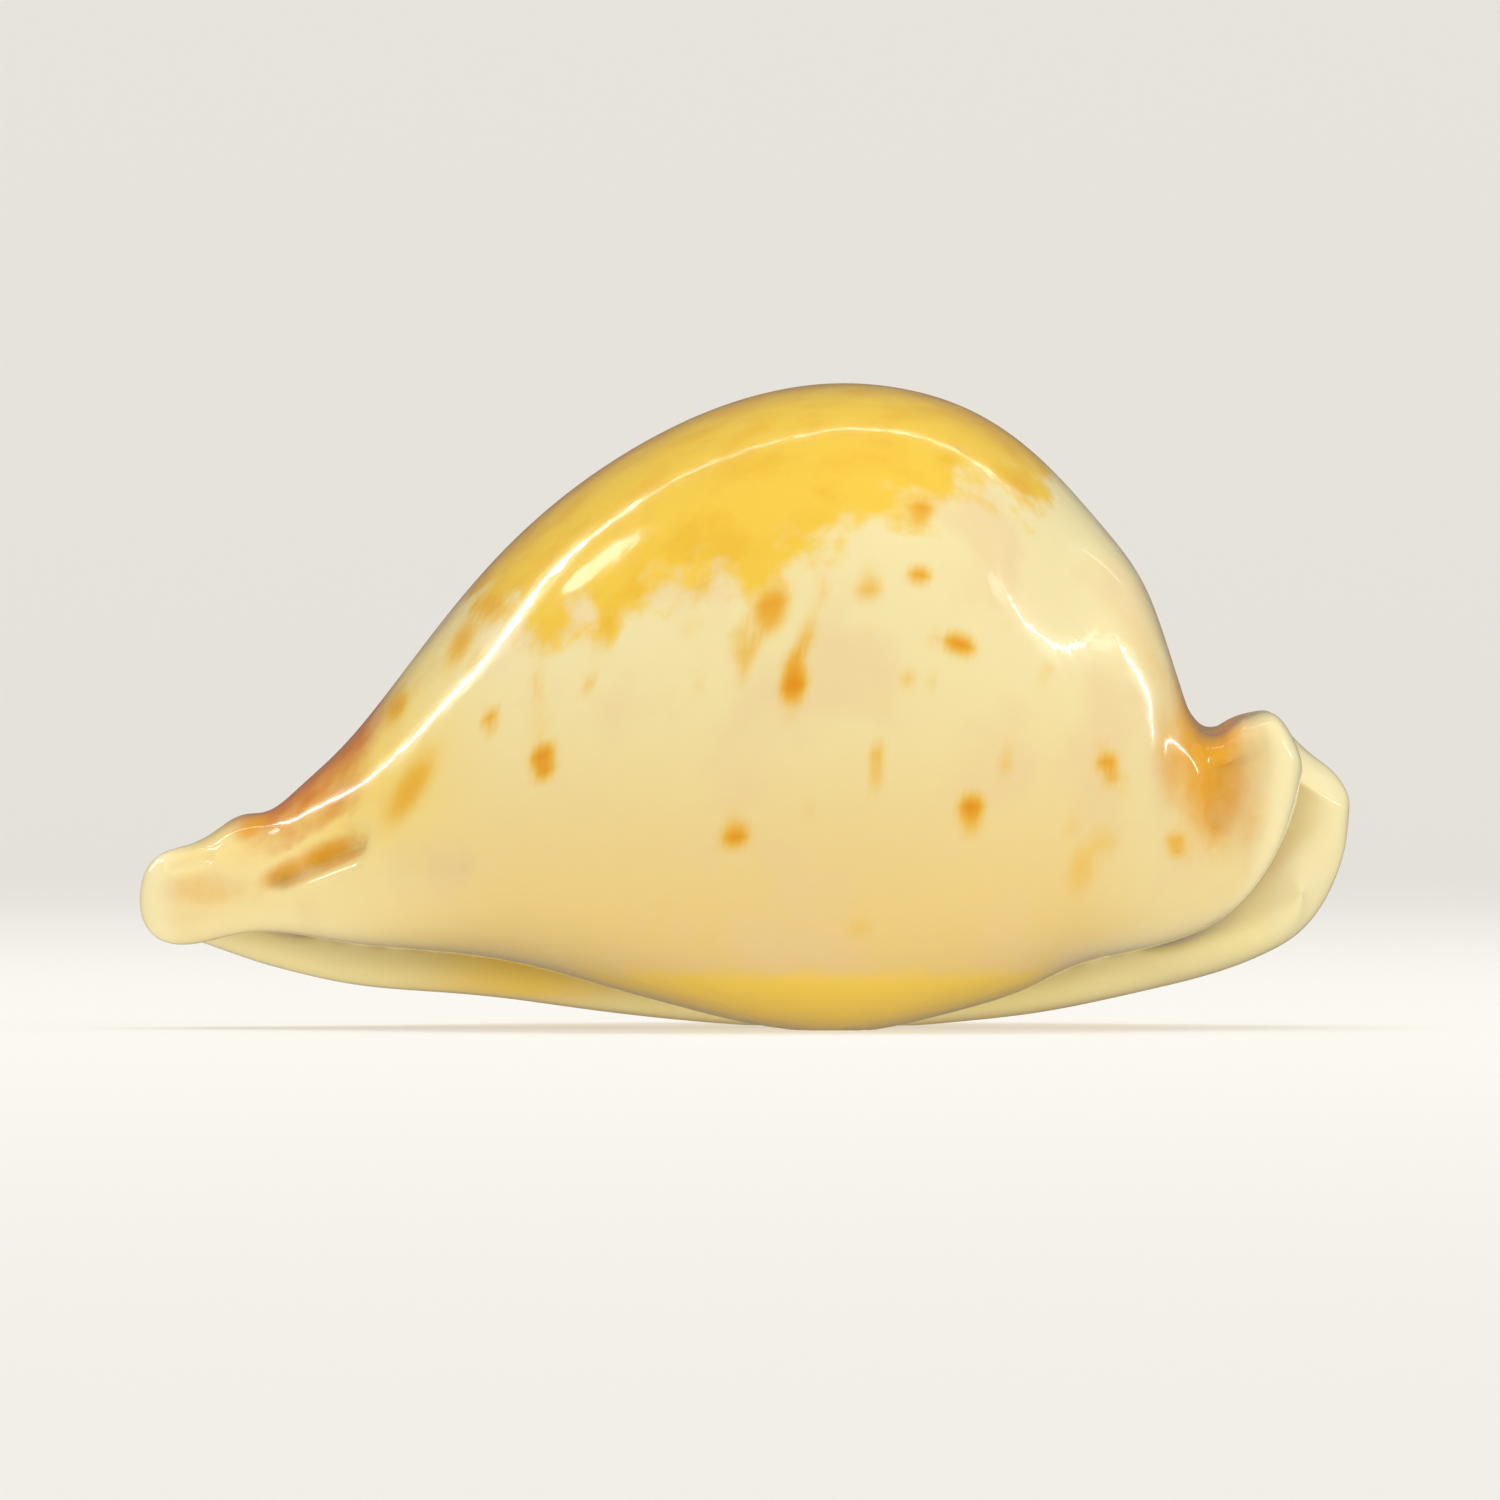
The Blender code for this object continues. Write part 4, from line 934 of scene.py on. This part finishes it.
def glaze():
    """The shell's enamel: cream sides, yellow back, apricot base and soft orange marks under the gloss. The
    base and the outer lip's face are painted lighter as painted light, the orange in the pits and along the
    crest is partly painted shade, and the ivory on the inner lip's low edges partly a painted highlight.
    """
    material = bpy.data.materials.new("shell_glaze")
    material.use_nodes = True
    tree = Tree(material.node_tree)
    warp = tree.math("SUBTRACT", tree.noise(*WARP), 0.5)
    fine_warp = tree.math("SUBTRACT", tree.noise(*FINE_WARP), 0.5)
    side = tree.mix(linear(CREAM), linear(PEACH), tree.field("low"))
    front = tree.mix(linear(GOLD), linear(LEMON), tree.step(tree.field("low"), *LEMON_IN_GOLD))
    side = tree.mix(side, front, tree.field("front"))
    side = tree.mix(side, linear(PINK), tree.step(tree.noise(*PINK_CLOUDS), *PINK_IN_SIDE))
    # The apricot base carries painted light: it is lighter than the shell's own to make up for its shade
    base_edge = tree.math("MULTIPLY_ADD", warp, BASE_WARP, tree.field("base"))
    side = tree.mix(side, linear(APRICOT_PAINTED_LIGHTER), tree.step(base_edge, *APRICOT_IN_SIDE))
    mustard = tree.step(tree.noise(*MUSTARD_CLOUDS), *MUSTARD_IN_YELLOW)
    yellow = tree.mix(linear(YELLOW), linear(MUSTARD), mustard)
    back_edge = tree.math("MULTIPLY_ADD", warp, BACK_WARP, tree.field("back"))
    back_edge = tree.math("MULTIPLY_ADD", fine_warp, BACK_FINE_WARP, back_edge)
    # The outer lip's face is painted lighter than the shell's own cream, as painted light in its shade
    side_lip = tree.mix(side, linear(LIP_CREAM_PAINTED_LIGHTER), tree.field("far_lip"))
    body = tree.mix(side_lip, yellow, tree.step(back_edge, *YELLOW_IN_BODY))
    # The crest's orange, partly the shell's own and partly painted shade where the crest mirrors a dark
    # surround
    stain_and_shade_colour = tree.mix(linear(BURNT), linear(AMBER), tree.field("rearward"))
    stain = tree.math("MULTIPLY_ADD", warp, STAIN_AND_SHADE_WARP, tree.field("stain"))
    body = tree.mix(body, stain_and_shade_colour, tree.step(stain, *STAIN_AND_SHADE_IN_BODY))
    # Deep orange, partly the shell's own and partly painted shade in the pits and the beak's recess
    deep = tree.math("MULTIPLY_ADD", fine_warp, DEEP_AND_HOLLOW_SHADE_WARP, tree.field("deep"))
    body = tree.mix(body, linear(AMBER), tree.step(deep, *DEEP_AND_HOLLOW_SHADE_IN_BODY))
    # Ivory rims and lips, with a painted highlight along the inner lip's low edges at both ends
    body = tree.mix(body, linear(IVORY), tree.field("rim"))
    marks = tree.math("MULTIPLY_ADD", fine_warp, MARKS_WARP, tree.field("marks"))
    body = tree.mix(body, linear(MUSTARD), tree.step(marks, *MUSTARD_IN_MARKS))
    body = tree.mix(body, linear(ORANGE), tree.step(marks, *ORANGE_IN_MARKS))
    colour = tree.mix(body, linear(CHAMBER_WHITE), tree.field("chamber"))
    surface = material.node_tree.nodes["Principled BSDF"]
    for name, value in GLAZE.items():
        tree.feed(surface.inputs[name], value)
    tree.feed(surface.inputs["Base Color"], colour)
    tree.feed(surface.inputs["Roughness"], tree.step(tree.noise(*DULL_PATCHES), *ROUGHNESS))
    inputs = {"Strength": 1.0, "Distance": SWELL_HEIGHT, "Height": tree.noise(*SWELL)}
    swell = tree.add("ShaderNodeBump", inputs)
    tree.feed(surface.inputs["Normal"], swell.outputs[0])
    tree.feed(surface.inputs["Coat Normal"], swell.outputs[0])
    return material


def floor_finish():
    material = bpy.data.materials.new("studio_floor_paper")
    material.use_nodes = True
    surface = material.node_tree.nodes["Principled BSDF"]
    surface.inputs["Base Color"].default_value = linear(FLOOR_TONE)
    surface.inputs["Roughness"].default_value = FLOOR_ROUGHNESS
    surface.inputs["Specular IOR Level"].default_value = FLOOR_SPECULAR
    surface.inputs["Emission Color"].default_value = linear(FLOOR_GLOW_TONE)
    surface.inputs["Emission Strength"].default_value = FLOOR_GLOW
    return material


def make_floor():
    """A round pale floor whose rim curves up into a low wall."""
    rows = [(FLOOR_RADIUS * share, 0.0) for share in FLOOR_RINGS]
    for i in range(1, COVE_STEPS + 1):
        angle = i / COVE_STEPS * math.pi / 2
        rows.append((FLOOR_RADIUS + COVE_RADIUS * math.sin(angle), COVE_RADIUS * (1 - math.cos(angle))))
    rows.append((rows[-1][0], WALL_HEIGHT))
    sides = FLOOR_SIDES
    vertices = []
    for radius, height in rows[1:]:
        for i in range(sides):
            angle = i / sides * math.tau
            vertices.append((radius * math.cos(angle), radius * math.sin(angle), height))
    vertices.append((0.0, 0.0, 0.0))
    middle = len(vertices) - 1
    faces = [(middle, i, (i + 1) % sides) for i in range(sides)]
    for r in range(len(rows) - 2):
        for i in range(sides):
            after = (i + 1) % sides
            faces.append((r * sides + i, (r + 1) * sides + i, (r + 1) * sides + after, r * sides + after))
    mesh = bpy.data.meshes.new("studio_floor")
    mesh.from_pydata(vertices, [], faces)
    mesh.shade_smooth()
    mesh.materials.append(floor_finish())
    floor = bpy.data.objects.new("studio_floor", mesh)
    bpy.context.collection.objects.link(floor)
    floor.visible_glossy = False


def area_light(name, place, size, power, mirrored):
    """A light of (width, height) at a place, in metres. The gloss mirrors it, or else it lights the shell."""
    data = bpy.data.lights.new(name, "AREA")
    data.shape = "RECTANGLE"
    data.size, data.size_y = size
    data.energy = power
    light = bpy.data.objects.new(name, data)
    light.location = place
    light.rotation_euler = (SHELL_MIDDLE - Vector(place)).to_track_quat("-Z", "Y").to_euler()
    light.visible_camera = False
    light.visible_glossy = mirrored
    light.visible_diffuse = not mirrored
    bpy.context.collection.objects.link(light)
    return light


def round_lamp(name, direction, size, power):
    """A small round lamp in a direction from the shell: it draws one soft spot in the gloss."""
    place = Vector(direction).normalized() * LAMP_DISTANCE
    light = area_light(name, place, (size, size), power, mirrored=True)
    light.data.shape = "DISK"
    return light


def arch_lights():
    """A thin bright arch over and behind the shell: it draws the long line along the back."""
    angles, backs, shares = np.array(ARCH_COURSE).T
    angles = np.radians(angles)
    across, up = ARCH_RADIUS * np.sin(angles), ARCH_RADIUS * np.cos(angles)
    course = np.column_stack((across, backs, ARCH_HEIGHT + up))
    for i in range(len(course) - 1):
        start, end = Vector(course[i]), Vector(course[i + 1])
        along = end - start
        place = (start + end) / 2
        power = ARCH_POWER * along.length * (shares[i] + shares[i + 1]) / 2
        size = (along.length * ARCH_OVERLAP, ARCH_WIDTH)
        light = area_light("arch_%02d" % i, place, size, power, mirrored=True)
        along.normalize()
        width_way = along.cross(SHELL_MIDDLE - place).normalized()
        light.rotation_euler = Matrix((along, width_way, along.cross(width_way))).transposed().to_euler()


def make_lights():
    for name, place, size, power in SOFTBOXES:
        area_light(name, place, size, power, mirrored=False)
    for name, direction, size, power in ROUND_LAMPS:
        round_lamp(name, direction, size, power)
    arch_lights()
    world = bpy.data.worlds.new("studio_air")
    world.use_nodes = True
    sky = world.node_tree.nodes["Background"]
    sky.inputs["Color"].default_value = AIR_TONE
    tree = Tree(world.node_tree)
    in_gloss = tree.add("ShaderNodeLightPath").outputs["Is Glossy Ray"]
    strength = tree.step(in_gloss, 0.0, 1.0, AIR_LIGHT, AIR_LIGHT_IN_GLOSS)
    tree.feed(sky.inputs["Strength"], strength)
    bpy.context.scene.world = world


def make_camera():
    data = bpy.data.cameras.new("camera")
    data.lens = CAMERA_LENS
    data.sensor_width = CAMERA_SENSOR
    camera = bpy.data.objects.new("camera", data)
    distance = FRAME_WIDTH * CAMERA_LENS / CAMERA_SENSOR
    camera.location = (FRAME_CENTRE[0] * MM, -distance * MM, FRAME_CENTRE[1] * MM)
    camera.rotation_euler = (math.pi / 2, 0, 0)
    data.clip_start, data.clip_end = CAMERA_CLIP
    bpy.context.collection.objects.link(camera)
    bpy.context.scene.camera = camera


bpy.context.scene.view_settings.view_transform = "Standard"
make_camera()
make_floor()
make_lights()
make_shell(glaze())
